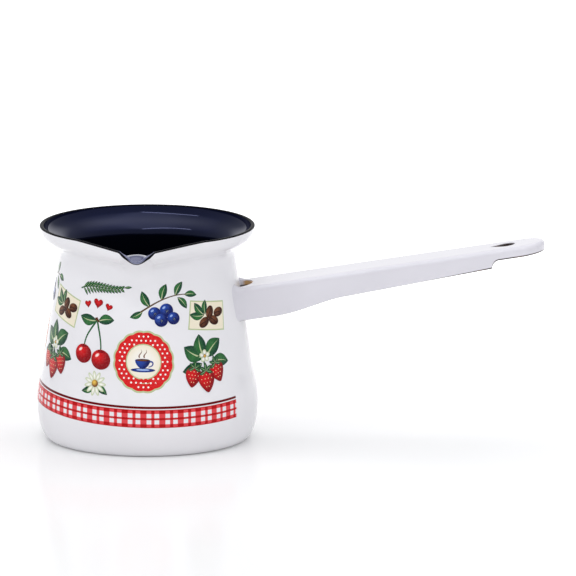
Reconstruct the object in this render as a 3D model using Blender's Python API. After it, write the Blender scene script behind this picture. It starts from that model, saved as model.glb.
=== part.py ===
"""Enamelled steel coffee pot with a pouring lip and a long pressed handle.

Metres, +Z up. The origin is on the pot's own axis, at its underside.
The handle runs out along +X and the lip points along -Y.
Every wall is drawn as its real layers: steel in the middle, a fired coat on each side.
"""
import math

import bpy
from mathutils import Vector

MM = 0.001

# Body, outside of the white coat
HEIGHT = 101.5 * MM
RIM_RADIUS = 50.4 * MM
NECK_RADIUS = 41.2 * MM
BELLY_RADIUS = 51.9 * MM
BELLY_HEIGHT = 19.6 * MM
FLARE_HEIGHT = 13.0 * MM
CORNER_WIDTH = 6.9 * MM
BELLY_TUCK = 2.9 * MM
BELLY_TUCK_HEIGHT = 17.4 * MM

# Layers of the body wall, and the room kept between neighbouring solids
STEEL = 0.5 * MM
OUTER_COAT = 0.4 * MM
INNER_COAT = 0.35 * MM
GAP = 0.3 * MM
LIP_BEAD = 0.9 * MM

# Pouring lip: straight shoulders from each side, and a trough between them that curls over
LIP_HALF_WIDTH = 8.5 * MM
LIP_PULL = 2.0 * MM
LIP_DIP = 6.0 * MM
LIP_SHOULDER_DIP = 2.4 * MM
LIP_ANGLE = math.radians(37.0)
LIP_CURL = math.radians(42.0)
LIP_DEPTH = 21.0 * MM
LIP_FULLNESS = 1.15

# Handle, outside of its white coat
HANDLE_LENGTH = 143.2 * MM
HANDLE_DROP = 14.9 * MM
HANDLE_RISE = math.radians(9.3)
ROOT_HALF_WIDTH = 12.6 * MM
TIP_RADIUS = 11.0 * MM
HANDLE_BEND = 2.3 * MM
HANDLE_STEEL = 0.8 * MM
HANDLE_COAT = 0.35 * MM
HANDLE_LINING = 0.3 * MM
ROOT_WALL = 15.4 * MM
MIDDLE_WALL = 11.0 * MM
STEP_WALL = 8.3 * MM
TIP_WALL = 4.8 * MM
WAIST_START = 19.0 * MM
WAIST_LENGTH = 33.0 * MM
STEP_TO_TIP = 24.1 * MM
STEP_LENGTH = 3.1 * MM

# Hanging hole, measured back from the tip, and the drain notch at the root
HOLE_TO_TIP = 18.0 * MM
HOLE_RADIUS = 4.0 * MM
HOLE_POINT = 7.8 * MM
NOTCH_LENGTH = 6.4 * MM
NOTCH_HALF_WIDTH = 8.3 * MM

# Weld beads inside the handle's root
WELD_LEG = 1.6 * MM

# Facets
LIP_SEGMENTS = 12
SHOULDER_SEGMENTS = 3
RING_SEGMENTS = 32
BEND_SEGMENTS = 3
TIP_SEGMENTS = 10
BEAD_SEGMENTS = 6
EDGE_SEGMENTS = 5
HOLE_SEGMENTS = 12
NOTCH_SEGMENTS = 20
PATCH_COLUMNS = 5
PATCH_ROWS = 4

# Places worked out from the sizes above
NECK_HEIGHT = HEIGHT - FLARE_HEIGHT
BASE_RADIUS = BELLY_RADIUS - CORNER_WIDTH
FOOT_RADIUS = BELLY_RADIUS - BELLY_TUCK
FOOT_HEIGHT = BELLY_HEIGHT + BELLY_TUCK_HEIGHT
STEEL_DEPTH = OUTER_COAT + GAP
INNER_DEPTH = STEEL_DEPTH + STEEL + GAP
WALL = INNER_DEPTH + INNER_COAT
HANDLE_STEEL_DEPTH = HANDLE_COAT + GAP
LINING_DEPTH = HANDLE_STEEL_DEPTH + HANDLE_STEEL + GAP
HANDLE_THICKNESS = LINING_DEPTH + HANDLE_LINING
HANDLE_HEIGHT = NECK_HEIGHT - HANDLE_DROP

# The body's outline is four curves: corner, belly, cone and flare. The two shares of a curve
# say how far its ends run straight on before they turn, CONE_LEAN is the slope at the cone's
# foot as a share of its mean slope, and CURVE_SEGMENTS counts the facets up each curve.
# SHOULDER_CURVE bends the lip's shoulders, and NUDGE is the step that slopes are measured over.
CORNER_EASE = (0.65, 0.59)
TUCK_EASE = (0.40, 0.23)
CONE_EASE = (0.30, 0.12)
FLARE_EASE = (0.42, 0.67)
CONE_LEAN = 0.75
SHOULDER_CURVE = 1.1
NUDGE = 0.001
CURVE_SEGMENTS = (4, 2, 3, 6)
RIM_PLACE = float(len(CURVE_SEGMENTS))


def bezier(ends, handles, t):
    """Point at t on the cubic curve between two ends, with its two handle points."""
    (ax, az), (bx, bz) = ends
    (hx, hz), (kx, kz) = handles
    s = 1.0 - t
    weights = (s ** 3, 3 * s * s * t, 3 * s * t * t, t ** 3)
    return (sum(w * v for w, v in zip(weights, (ax, hx, kx, bx))),
            sum(w * v for w, v in zip(weights, (az, hz, kz, bz))))


def outline_curves():
    """Corner, belly, cone and flare of the outer outline, as radius and height."""
    base = (BASE_RADIUS, 0.0)
    belly = (BELLY_RADIUS, BELLY_HEIGHT)
    foot = (FOOT_RADIUS, FOOT_HEIGHT)
    neck = (NECK_RADIUS, NECK_HEIGHT)
    rim = (RIM_RADIUS, HEIGHT)
    cone_height = NECK_HEIGHT - FOOT_HEIGHT
    taper = CONE_LEAN * (FOOT_RADIUS - NECK_RADIUS) / cone_height
    up_cone = CONE_EASE[0] * cone_height
    down_foot = TUCK_EASE[1] * BELLY_TUCK_HEIGHT
    return (
        ((base, belly),
         ((BASE_RADIUS + CORNER_EASE[0] * CORNER_WIDTH, 0.0),
          (BELLY_RADIUS, BELLY_HEIGHT * (1.0 - CORNER_EASE[1])))),
        ((belly, foot),
         ((BELLY_RADIUS, BELLY_HEIGHT + TUCK_EASE[0] * BELLY_TUCK_HEIGHT),
          (FOOT_RADIUS + taper * down_foot, FOOT_HEIGHT - down_foot))),
        ((foot, neck),
         ((FOOT_RADIUS - taper * up_cone, FOOT_HEIGHT + up_cone),
          (NECK_RADIUS, NECK_HEIGHT - CONE_EASE[1] * cone_height))),
        ((neck, rim),
         ((NECK_RADIUS, NECK_HEIGHT + FLARE_EASE[0] * FLARE_HEIGHT),
          (RIM_RADIUS, HEIGHT - FLARE_EASE[1] * FLARE_HEIGHT))),
    )


def outline_point(u):
    """Radius and height at u, which runs from 0 at the base to RIM_PLACE at the rim."""
    curves = outline_curves()
    index = min(int(u), len(curves) - 1)
    return bezier(*curves[index], u - index)


def ease(share):
    """Smooth step from 0 to 1."""
    share = min(1.0, max(0.0, share))
    return share * share * (3.0 - 2.0 * share)


def shoulder_shift(angle):
    """How far the lip's shoulders move the rim forward and down at an angle from -Y."""
    across = abs(RIM_RADIUS * math.sin(angle))
    reach = RIM_RADIUS * math.sin(LIP_ANGLE)
    if across >= reach or math.cos(angle) < 0.0:
        return 0.0, 0.0
    beside = max(across, LIP_HALF_WIDTH)
    straight = (RIM_RADIUS - beside * math.sin(LIP_ANGLE)) / math.cos(LIP_ANGLE)
    forward = straight - math.sqrt(RIM_RADIUS ** 2 - across ** 2)
    along = (reach - beside) / (reach - LIP_HALF_WIDTH)
    return forward, LIP_SHOULDER_DIP * along ** SHOULDER_CURVE


def trough_share(angle):
    """Share of the trough's shape at an angle from -Y: 1 in its middle, 0 beside it."""
    if math.cos(angle) < 0.0:
        return 0.0
    across = RIM_RADIUS * math.sin(angle) / LIP_HALF_WIDTH
    return max(0.0, 1.0 - across ** 2) ** LIP_FULLNESS


def shoulder_point(angle, u):
    """Radius, forward move and height of the wall as the shoulders alone would leave it."""
    radius, height = outline_point(u)
    share = ease((height - (HEIGHT - LIP_DEPTH)) / LIP_DEPTH)
    forward, down = shoulder_shift(angle)
    return radius, share * forward, height - share * down


def shoulder_line(u):
    """Reach and height of the shoulders' shape at the lip's middle."""
    radius, forward, height = shoulder_point(0.0, u)
    return Vector((radius + forward, height))


def trough_shift(u):
    """How far the trough's middle line lies outside the shoulders' shape and above it.

    The line leaves the neck along the wall and ends LIP_CURL below the level, past its crest.
    """
    neck = RIM_PLACE - 1.0
    if u <= neck:
        return Vector((0.0, 0.0))
    start = shoulder_line(neck)
    leave = (shoulder_line(neck + NUDGE) - start) / (3.0 * NUDGE)
    end = shoulder_line(RIM_PLACE) + Vector((LIP_PULL, -LIP_DIP))
    arrive = FLARE_EASE[1] * FLARE_HEIGHT * Vector((-math.cos(LIP_CURL), math.sin(LIP_CURL)))
    line = bezier((start, end), (start + leave, end + arrive), u - neck)
    return Vector(line) - shoulder_line(u)


def wall_surface(angle, u):
    """Point on the outside of the white coat."""
    radius, forward, height = shoulder_point(angle, u)
    outside, above = trough_share(angle) * trough_shift(u)
    return Vector((radius * math.sin(angle), -radius * math.cos(angle) - forward - outside,
                   height + above))


def wall_point(angle, u, depth):
    """Point at a depth into the wall, measured square to its outside."""
    low, high = max(0.0, u - NUDGE), min(RIM_PLACE, u + NUDGE)
    around = wall_surface(angle + NUDGE, u) - wall_surface(angle - NUDGE, u)
    upward = wall_surface(angle, high) - wall_surface(angle, low)
    normal = around.cross(upward).normalized()
    return wall_surface(angle, u) - depth * normal


def ring_angles():
    """Angles of the wall's columns, closer together across the lip."""
    lip = math.asin(LIP_HALF_WIDTH / RIM_RADIUS)
    stops = ((-lip, lip, LIP_SEGMENTS), (lip, LIP_ANGLE, SHOULDER_SEGMENTS),
             (LIP_ANGLE, 2 * math.pi - LIP_ANGLE, RING_SEGMENTS),
             (2 * math.pi - LIP_ANGLE, 2 * math.pi - lip, SHOULDER_SEGMENTS))
    return [start + (end - start) * k / count
            for start, end, count in stops for k in range(count)]


def below_rim(angle, distance):
    """Place on the outline a small distance down from the rim, at an angle from -Y."""
    rise = wall_surface(angle, RIM_PLACE) - wall_surface(angle, RIM_PLACE - NUDGE)
    return RIM_PLACE - distance * NUDGE / rise.length


def new_object(name, points, faces, material=None, sharp=30.0):
    """Object from points and faces, shaded smooth with sharp edges past an angle."""
    mesh = bpy.data.meshes.new(name)
    mesh.from_pydata([tuple(p) for p in points], [], faces)
    mesh.validate()
    mesh.shade_smooth()
    mesh.set_sharp_from_angle(angle=math.radians(sharp))
    thing = bpy.data.objects.new(name, mesh)
    bpy.context.scene.collection.objects.link(thing)
    if material:
        mesh.materials.append(material)
    return thing


def finish(name, colour, roughness, metallic):
    """Plain material of one layer."""
    material = bpy.data.materials.new(name)
    material.use_nodes = True
    shader = material.node_tree.nodes["Principled BSDF"]
    shader.inputs["Base Color"].default_value = (*colour, 1.0)
    shader.inputs["Roughness"].default_value = roughness
    shader.inputs["Metallic"].default_value = metallic
    return material


def cutter(name, points, faces):
    """Guide solid that only cuts others."""
    thing = new_object(name, points, faces)
    thing.hide_render = True
    thing.display_type = "WIRE"
    return thing


def cut(thing, tool):
    """Cut one solid by a guide solid."""
    boolean = thing.modifiers.new(tool.name, "BOOLEAN")
    boolean.operation = "DIFFERENCE"
    boolean.solver = "EXACT"
    boolean.object = tool


def strip(first, second, count, closed):
    """Triangles between two rows of points, given by their first index.

    Every square is split the same way, so nested layers never cross.
    """
    faces = []
    for k in range(count if closed else count - 1):
        after = (k + 1) % count
        faces.append((first + k, first + after, second + after))
        faces.append((first + k, second + after, second + k))
    return faces


def wall_rows(depth):
    """Rows of points up the wall at one depth, and the centre of the base below them."""
    angles = ring_angles()
    points = [Vector((0.0, 0.0, depth))]
    for u in (i + k / count for i, count in enumerate(CURVE_SEGMENTS) for k in range(count)):
        points += [wall_point(angle, u, depth) for angle in angles]
    return points + [wall_point(angle, below_rim(angle, LIP_BEAD + GAP), depth)
                     for angle in angles]


def wall_faces(start, count, rows):
    """Faces of one side of the wall, base fan first."""
    first = start + 1
    faces = [(start, first + (k + 1) % count, first + k) for k in range(count)]
    for row in range(rows - 1):
        faces += strip(first + row * count, first + (row + 1) * count, count, True)
    return faces


def wall_layer(name, outer_depth, inner_depth, material):
    """One closed layer of the body wall between two depths."""
    count, rows = len(ring_angles()), sum(CURVE_SEGMENTS) + 1
    outer, inner = wall_rows(outer_depth), wall_rows(inner_depth)
    faces = wall_faces(0, count, rows)
    faces += [tuple(reversed(f)) for f in wall_faces(len(outer), count, rows)]
    last = 1 + (rows - 1) * count
    faces += strip(last, len(outer) + last, count, True)
    return new_object(name, outer + inner, faces, material)


def body_clearance(name, depth):
    """Guide solid that fills the pot out to a depth in its wall."""
    count, rows = len(ring_angles()), sum(CURVE_SEGMENTS) + 1
    points = wall_rows(depth)
    faces = wall_faces(0, count, rows)
    faces.append(tuple(range(1 + (rows - 1) * count, 1 + rows * count)))
    return cutter(name, points, faces)


def rim_bead(material):
    """Dark bead of enamel that closes the wall's edge, half round on top."""
    section = []
    for k in range(BEAD_SEGMENTS + 1):
        turn = math.pi * k / BEAD_SEGMENTS
        section.append((LIP_BEAD * (1.0 - math.sin(turn)), WALL * (1.0 - math.cos(turn)) / 2))
    angles = ring_angles()
    points = [wall_point(angle, below_rim(angle, drop), depth)
              for drop, depth in section for angle in angles]
    count = len(angles)
    faces = []
    for row in range(len(section)):
        faces += strip(row * count, (row + 1) % len(section) * count, count, True)
    return new_object("rim_enamel", points, faces, material)


def body_radius(height):
    """Outer radius of the cone at a height, found by halving."""
    low, high = 1.0, 3.0
    for _ in range(40):
        middle = (low + high) / 2
        if outline_point(middle)[1] < height:
            low = middle
        else:
            high = middle
    return outline_point(low)[0]


ROOT = body_radius(HANDLE_HEIGHT)
TIP = ROOT + HANDLE_LENGTH
TIP_CENTRE = TIP - TIP_RADIUS
STEP = TIP - STEP_TO_TIP


def handle_top(x):
    """Height of the handle's top face at x."""
    return HANDLE_HEIGHT + math.tan(HANDLE_RISE) * (x - ROOT)


def root_floor():
    """Height of the handle's lower edge where it meets the pot."""
    return handle_top(body_radius(HANDLE_HEIGHT - ROOT_WALL)) - ROOT_WALL


def half_width(x):
    """Half the handle's width at x, which narrows evenly to the tip's radius."""
    share = (x - ROOT) / (TIP_CENTRE - ROOT)
    return ROOT_HALF_WIDTH + (TIP_RADIUS - ROOT_HALF_WIDTH) * share


def lower_edge():
    """Stations along the handle as x and wall height: deep root, waist, step and tip."""
    edge = [(ROOT - ROOT_HALF_WIDTH, ROOT_WALL)]
    for k in range(EDGE_SEGMENTS + 1):
        share = k / EDGE_SEGMENTS
        edge.append((ROOT + WAIST_START + WAIST_LENGTH * share,
                     ROOT_WALL + (MIDDLE_WALL - ROOT_WALL) * ease(share)))
    for k in range(EDGE_SEGMENTS + 1):
        turn = math.pi / 2 * k / EDGE_SEGMENTS
        edge.append((STEP + STEP_LENGTH * (1.0 - math.cos(turn)),
                     STEP_WALL + (TIP_WALL - STEP_WALL) * math.sin(turn)))
    edge.append((TIP_CENTRE, TIP_WALL))
    return edge


def handle_path():
    """Columns round the handle from root to tip and back: x, outward direction, wall."""
    side = lower_edge()
    path = [(x, (0.0, -1.0), wall) for x, wall in side]
    for k in range(1, TIP_SEGMENTS):
        turn = math.pi * k / TIP_SEGMENTS - math.pi / 2
        path.append((TIP_CENTRE, (math.cos(turn), math.sin(turn)), TIP_WALL))
    return path + [(x, (0.0, 1.0), wall) for x, wall in reversed(side)]


def handle_point(column, inset, drop):
    """Point of the handle in from its outline and down from its top face."""
    x, (east, north), _ = column
    reach = half_width(x) - inset
    place = x + reach * east
    return Vector((place, reach * north, handle_top(place) - drop))


def bend_places(depth):
    """Insets and drops round the bend between side wall and top plate."""
    radius = HANDLE_BEND - depth
    turns = [math.pi / 2 * k / BEND_SEGMENTS for k in range(BEND_SEGMENTS + 1)]
    return [(HANDLE_BEND - radius * math.cos(t), HANDLE_BEND - radius * math.sin(t))
            for t in turns]


def handle_layer(name, outer_depth, inner_depth, material):
    """One closed layer of the handle's channel, open underneath."""
    path = handle_path()
    points = []
    for depth in (outer_depth, inner_depth):
        points += [handle_point(c, depth, c[2]) for c in path]
        for inset, drop in bend_places(depth):
            points += [handle_point(c, inset, drop) for c in path]
    count, rows = len(path), BEND_SEGMENTS + 2
    other = rows * count
    faces = []
    for row in range(rows - 1):
        low, high = row * count, (row + 1) * count
        faces += strip(low, high, count, False)
        faces += [tuple(reversed(f)) for f in strip(other + low, other + high, count, False)]
        faces.append((low, high, other + high, other + low))
        faces.append((low + count - 1, other + low + count - 1,
                      other + high + count - 1, high + count - 1))
    top = (rows - 1) * count
    faces.append(tuple(top + k for k in range(count)))
    faces.append(tuple(other + top + k for k in reversed(range(count))))
    faces.append((top, top + count - 1, other + top + count - 1, other + top))
    faces += [tuple(reversed(f)) for f in strip(0, other, count, False)]
    return new_object(name, points, faces, material)


def upright(name, plan, low, high):
    """Guide prism over a plan outline that runs anticlockwise."""
    count = len(plan)
    points = [Vector((x, y, z)) for z in (low, high) for x, y in plan]
    faces = strip(0, count, count, True)
    faces.append(tuple(reversed(range(count))))
    faces.append(tuple(range(count, 2 * count)))
    return cutter(name, points, faces)


def hole_guide():
    """Drop-shaped hanging hole: round towards the tip, pointed towards the pot."""
    centre = TIP - HOLE_TO_TIP
    lean = math.acos(HOLE_RADIUS / HOLE_POINT)
    first, last = lean - math.pi, math.pi - lean
    turns = [first + (last - first) * k / HOLE_SEGMENTS for k in range(HOLE_SEGMENTS + 1)]
    plan = [(centre - HOLE_POINT, 0.0)]
    plan += [(centre + HOLE_RADIUS * math.cos(t), HOLE_RADIUS * math.sin(t)) for t in turns]
    top = handle_top(centre)
    return upright("hole_guide", plan, top - 2 * HOLE_RADIUS, top + 2 * HOLE_RADIUS)


def notch_guide():
    """Half-oval drain notch in the top plate, where it meets the pot."""
    turns = [2 * math.pi * (k + 0.5) / NOTCH_SEGMENTS for k in range(NOTCH_SEGMENTS)]
    plan = [(ROOT + NOTCH_LENGTH * math.cos(t), NOTCH_HALF_WIDTH * math.sin(t)) for t in turns]
    drop = 2 * HANDLE_THICKNESS
    return upright("notch_guide", plan, HANDLE_HEIGHT - drop, HANDLE_HEIGHT + drop)


def window_guide():
    """Guide prism of the handle's root, for its window in the body's white coat."""
    wide = ROOT_HALF_WIDTH + GAP
    section = [(wide, -ROOT_WALL - GAP)]
    section += [(wide - inset, GAP - drop) for inset, drop in bend_places(0.0)]
    section += [(-y, drop) for y, drop in reversed(section)]
    count = len(section)
    points = [Vector((x, y, handle_top(x) + drop))
              for x in (ROOT - WAIST_START / 2, ROOT + WAIST_START / 2) for y, drop in section]
    faces = strip(0, count, count, True)
    faces.append(tuple(reversed(range(count))))
    faces.append(tuple(range(count, 2 * count)))
    return cutter("window_guide", points, faces)


def root_lining(material):
    """Patch of dark ground coat on the body steel, inside the handle's root."""
    side = half_width(ROOT) - HANDLE_STEEL_DEPTH - HANDLE_STEEL - 2 * GAP - WELD_LEG - GAP
    spread = math.asin(side / ROOT)
    low = root_floor()
    high = HANDLE_HEIGHT - HANDLE_THICKNESS - GAP
    points = []
    columns, rows = PATCH_COLUMNS, PATCH_ROWS
    for inner in (False, True):
        for row in range(rows):
            height = low + (high - low) * row / (rows - 1)
            radius = body_radius(height) - (OUTER_COAT if inner else 0.0)
            for k in range(columns):
                turn = spread * (2.0 * k / (columns - 1) - 1.0)
                points.append(Vector((radius * math.cos(turn), radius * math.sin(turn), height)))
    other = columns * rows
    faces = []
    for row in range(rows - 1):
        low, high = row * columns, (row + 1) * columns
        faces += strip(low, high, columns, False)
        faces += [tuple(reversed(f)) for f in strip(other + low, other + high, columns, False)]
        faces.append((low, high, other + high, other + low))
        end = columns - 1
        faces.append((low + end, other + low + end, other + high + end, high + end))
    top = (rows - 1) * columns
    faces += strip(top, other + top, columns, False)
    faces += [tuple(reversed(f)) for f in strip(0, other, columns, False)]
    return new_object("root_lining", points, faces, material)


def weld_bead(name, sign, material):
    """Upright weld bead in one corner between the handle's steel and the body's."""
    side = half_width(ROOT) - HANDLE_STEEL_DEPTH - HANDLE_STEEL - GAP
    low = root_floor() + WELD_LEG
    high = HANDLE_HEIGHT - HANDLE_BEND - WELD_LEG
    points = []
    for k in range(PATCH_ROWS):
        height = low + (high - low) * k / (PATCH_ROWS - 1)
        radius = body_radius(height) - STEEL_DEPTH + GAP
        corner = math.sqrt(radius ** 2 - side ** 2)
        far = math.sqrt(radius ** 2 - (side - WELD_LEG) ** 2)
        points += [Vector((corner, sign * side, height)),
                   Vector((corner + WELD_LEG, sign * side, height)),
                   Vector((far, sign * (side - WELD_LEG), height))]
    faces = [(0, 2, 1)]
    for k in range(PATCH_ROWS - 1):
        faces += strip(3 * k, 3 * k + 3, 3, True)
    faces.append(tuple(3 * (PATCH_ROWS - 1) + k for k in range(3)))
    if sign > 0.0:
        faces = [tuple(reversed(f)) for f in faces]
    return new_object(name, points, faces, material)


def clear_scene():
    """Remove what the scene holds."""
    for thing in list(bpy.data.objects):
        bpy.data.objects.remove(thing, do_unlink=True)


def build_body():
    """Steel shell with its coats and the bead on its edge."""
    steel = finish("steel", (0.45, 0.45, 0.47), 0.45, 1.0)
    white = finish("white_enamel", (0.86, 0.86, 0.88), 0.08, 0.0)
    dark = finish("dark_enamel", (0.012, 0.014, 0.028), 0.06, 0.0)
    edge = finish("rim_enamel", (0.010, 0.011, 0.022), 0.10, 0.0)
    coat = wall_layer("outer_enamel", 0.0, OUTER_COAT, white)
    cut(coat, window_guide())
    wall_layer("body_steel", STEEL_DEPTH, STEEL_DEPTH + STEEL, steel)
    wall_layer("inner_enamel", INNER_DEPTH, WALL, dark)
    rim_bead(edge)


def build_handle():
    """Pressed channel with its coats, welded to the body's steel."""
    steel = finish("handle_steel", (0.42, 0.42, 0.44), 0.5, 1.0)
    white = finish("handle_white", (0.84, 0.84, 0.87), 0.10, 0.0)
    ground = finish("ground_coat", (0.055, 0.035, 0.028), 0.35, 0.0)
    patch = finish("root_ground_coat", (0.060, 0.036, 0.026), 0.4, 0.0)
    weld = finish("weld", (0.20, 0.17, 0.15), 0.6, 1.0)
    on_steel = body_clearance("body_guide", STEEL_DEPTH - GAP)
    past_weld = body_clearance("weld_guide", STEEL_DEPTH - 2 * GAP - WELD_LEG - GAP)
    hole, notch = hole_guide(), notch_guide()
    coat = handle_layer("handle_enamel", 0.0, HANDLE_COAT, white)
    channel = handle_layer("handle_steel", HANDLE_STEEL_DEPTH,
                           HANDLE_STEEL_DEPTH + HANDLE_STEEL, steel)
    lining = handle_layer("handle_lining", LINING_DEPTH, HANDLE_THICKNESS, ground)
    for thing, guide in ((coat, on_steel), (channel, on_steel), (lining, past_weld)):
        cut(thing, guide)
        cut(thing, notch)
        cut(thing, hole)
    root_lining(patch)
    weld_bead("front_weld", -1.0, weld)
    weld_bead("back_weld", 1.0, weld)


clear_scene()
build_body()
build_handle()
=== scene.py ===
"""Looks of the enamelled coffee pot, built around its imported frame.

Metres, +Z up. The origin is on the pot's axis at its underside, the handle runs along +X
and the lip points along -Y. Angles round the body are measured from the lip towards the handle.
"""
import math

import bmesh
import bpy
from bpy.props import FloatProperty, FloatVectorProperty, IntProperty, PointerProperty
from mathutils import Matrix, Vector


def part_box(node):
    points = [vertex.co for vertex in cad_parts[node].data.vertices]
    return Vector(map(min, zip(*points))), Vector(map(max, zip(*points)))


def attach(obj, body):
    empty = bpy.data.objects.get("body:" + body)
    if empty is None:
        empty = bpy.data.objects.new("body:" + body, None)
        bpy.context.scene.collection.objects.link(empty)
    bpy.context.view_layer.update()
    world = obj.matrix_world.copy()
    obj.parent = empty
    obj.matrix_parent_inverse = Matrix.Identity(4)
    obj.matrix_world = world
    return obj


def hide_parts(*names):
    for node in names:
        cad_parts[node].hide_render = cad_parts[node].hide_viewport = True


bl_info = {
    "name": "Enamelled Coffee Pot",
    "version": (1, 0, 0),
    "blender": (4, 5, 0),
    "location": "3D View > Sidebar > Coffee Pot",
    "description": "Builds the enamel, the fired prints and the stage of a coffee pot",
    "category": "Object",
}

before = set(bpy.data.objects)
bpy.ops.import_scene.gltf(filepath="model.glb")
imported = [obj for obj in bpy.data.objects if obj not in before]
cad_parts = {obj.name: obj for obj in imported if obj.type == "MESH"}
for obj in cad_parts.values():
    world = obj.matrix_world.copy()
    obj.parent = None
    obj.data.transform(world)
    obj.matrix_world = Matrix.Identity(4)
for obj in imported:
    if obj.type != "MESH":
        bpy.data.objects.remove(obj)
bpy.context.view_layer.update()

MM = 0.001
TINY = 1e-6
BODY = "root"


# Sizes and colours that a user can change

def length(name, text, millimetres):
    """Length property, given in millimetres."""
    return FloatProperty(name=name, description=text, default=millimetres * MM, min=0.0,
                         unit="LENGTH", subtype="DISTANCE")


def turn(name, text, degrees):
    """Angle property, given in degrees."""
    return FloatProperty(name=name, description=text, default=math.radians(degrees),
                         unit="ROTATION", subtype="ANGLE")


def linear(red, green, blue):
    """Scene colour of a screen colour given from 0 to 255."""
    shares = (red / 255.0, green / 255.0, blue / 255.0)
    return tuple(c / 12.92 if c <= 0.04045 else ((c + 0.055) / 1.055) ** 2.4 for c in shares)


def colour(name, text, *screen):
    """Colour property, given as a screen colour from 0 to 255."""
    return FloatVectorProperty(name=name, description=text, default=linear(*screen), size=3,
                               min=0.0, max=1.0, subtype="COLOR")


class PotBodySizes(bpy.types.PropertyGroup):
    """Sizes of the body, taken on the outside of its white coat."""
    height: length("Height", "From the underside to the top of the rim", 101.5)
    rim_radius: length("Rim radius", "Outer radius at the rim", 50.4)
    neck_radius: length("Neck radius", "Outer radius at the neck", 41.2)
    belly_radius: length("Belly radius", "Outer radius at the widest place", 51.9)
    belly_height: length("Belly height", "Height of the widest place", 19.6)
    flare_height: length("Flare height", "Height of the flare above the neck", 13.0)
    corner_width: length("Corner width", "How far the base stays inside the belly", 6.9)
    belly_tuck: length("Belly tuck", "How far the cone's foot stays inside the belly", 2.9)
    tuck_height: length("Tuck height", "From the belly up to the cone's foot", 17.4)
    white_coat: length("White coat", "Thickness of the white coat outside", 0.4)
    steel_depth: length("Steel depth", "From the outside in to the steel", 0.7)
    steel: length("Steel", "Thickness of the steel", 0.5)
    dark_coat: length("Dark coat", "Thickness of the dark coat inside", 0.35)
    dark_depth: length("Dark coat depth", "From the outside in to the dark coat", 1.5)
    bead: length("Rim bead", "Height of the dark bead on the rim", 0.6)
    lip_half_width: length("Lip half width", "Half the width of the pouring trough", 8.5)
    lip_pull: length("Lip pull", "How far the trough reaches past its shoulders", 1.9)
    lip_dip: length("Lip dip", "How far the trough's edge lies below its shoulders", 6.0)
    shoulder_dip: length("Shoulder dip", "How far the shoulders lie below the rim", 2.4)
    lip_angle: turn("Lip angle", "From the lip's middle to where the rim is round again", 37.0)
    lip_curl: turn("Lip curl", "Downward slope of the trough at its edge", 42.0)
    lip_depth: length("Lip depth", "How far down the wall the pull shows", 21.0)
    columns: IntProperty(name="Columns", description="Facets round the body",
                         default=320, min=64, max=360)


class PotHandleSizes(bpy.types.PropertyGroup):
    """Sizes of the handle, taken on the outside of its white coat."""
    reach: length("Handle length", "From the body to the tip", 143.2)
    drop: length("Handle drop", "From the neck down to the handle's top at the body", 14.9)
    rise: turn("Handle rise", "Slope of the handle", 9.3)
    root_half_width: length("Root half width", "Half the width at the body", 12.6)
    tip_radius: length("Tip radius", "Radius of the round tip", 11.0)
    bend: length("Bend", "Radius between side wall and top plate", 2.3)
    coat: length("Handle coat", "Thickness of the white coat", 0.35)
    thickness: length("Handle thickness", "Steel and all coats together", 2.05)
    root_wall: length("Root wall", "Depth of the side walls at the body", 15.4)
    middle_wall: length("Middle wall", "Depth of the side walls past the waist", 11.0)
    step_wall: length("Step wall", "Depth of the side walls before the step", 8.3)
    tip_wall: length("Tip wall", "Depth of the flange round the tip", 4.8)
    waist_start: length("Waist start", "From the body to the waist", 19.0)
    waist_length: length("Waist length", "Length of the waist", 33.0)
    step_to_tip: length("Step to tip", "From the step to the tip", 24.1)
    step_length: length("Step length", "Length of the step's curve", 3.1)
    hole_to_tip: length("Hole to tip", "From the hanging hole's middle to the tip", 18.0)
    hole_radius: length("Hole radius", "Radius of the hanging hole's round end", 4.0)
    hole_point: length("Hole point", "From the hole's middle to its pointed end", 7.8)
    notch_length: length("Notch length", "Reach of the drain notch along the handle", 6.4)
    notch_half_width: length("Notch half width", "Half the width of the drain notch", 8.3)
    fillet_along: length("Fillet along", "Reach of the pooled enamel along the handle", 5.5)
    fillet_up: length("Fillet on body", "Reach of the pooled enamel on the body", 2.4)
    bare_edge: length("Bare edge", "Ground coat left bare along the tip's edge", 0.45)
    wrap: length("Wrap", "Ground coat over the steel's edge in the hole and the notch", 0.4)


class PotPrintSizes(bpy.types.PropertyGroup):
    """Sizes and inks of the fired prints."""
    line_height: length("Line height", "Height of the fine line over the band", 24.45)
    line_width: length("Line width", "Width of the fine line", 1.1)
    band_height: length("Band height", "Height of the checked band's middle", 19.15)
    band_width: length("Band width", "Width of the checked band", 8.55)
    row_place: length("Row place", "From the band's middle to the middle of a pale row", 1.48)
    row_width: length("Row width", "Width of a pale row", 1.97)
    pair_turn: turn("Pair spacing", "Angle from one pair of pale columns to the next", 9.73)
    pair_phase: turn("Pair phase", "Angle by which the columns are turned", -7.6)
    column_turn: turn("Column place", "Angle from a pair's middle to a pale column", 2.035)
    column_width: turn("Column width", "Angle that a pale column covers", 2.4)
    edge_width: length("Edge width", "Width of the darker edges of the band", 0.45)
    rise: length("Print rise", "How far the prints climb from the lip to the sides", 3.8)
    tilt: length("Print tilt", "How far the prints fall from the left to the lip", 1.2)
    open_turn: turn("Open angle", "Half the angle left bare under the handle", 32.0)
    red: colour("Red", "Ink of the checks", 180, 2, 8)
    pale_red: colour("Pale red", "Ink where a pale row or column crosses the red", 224, 70, 76)
    line_red: colour("Line red", "Ink of the fine line", 104, 0, 8)


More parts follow.
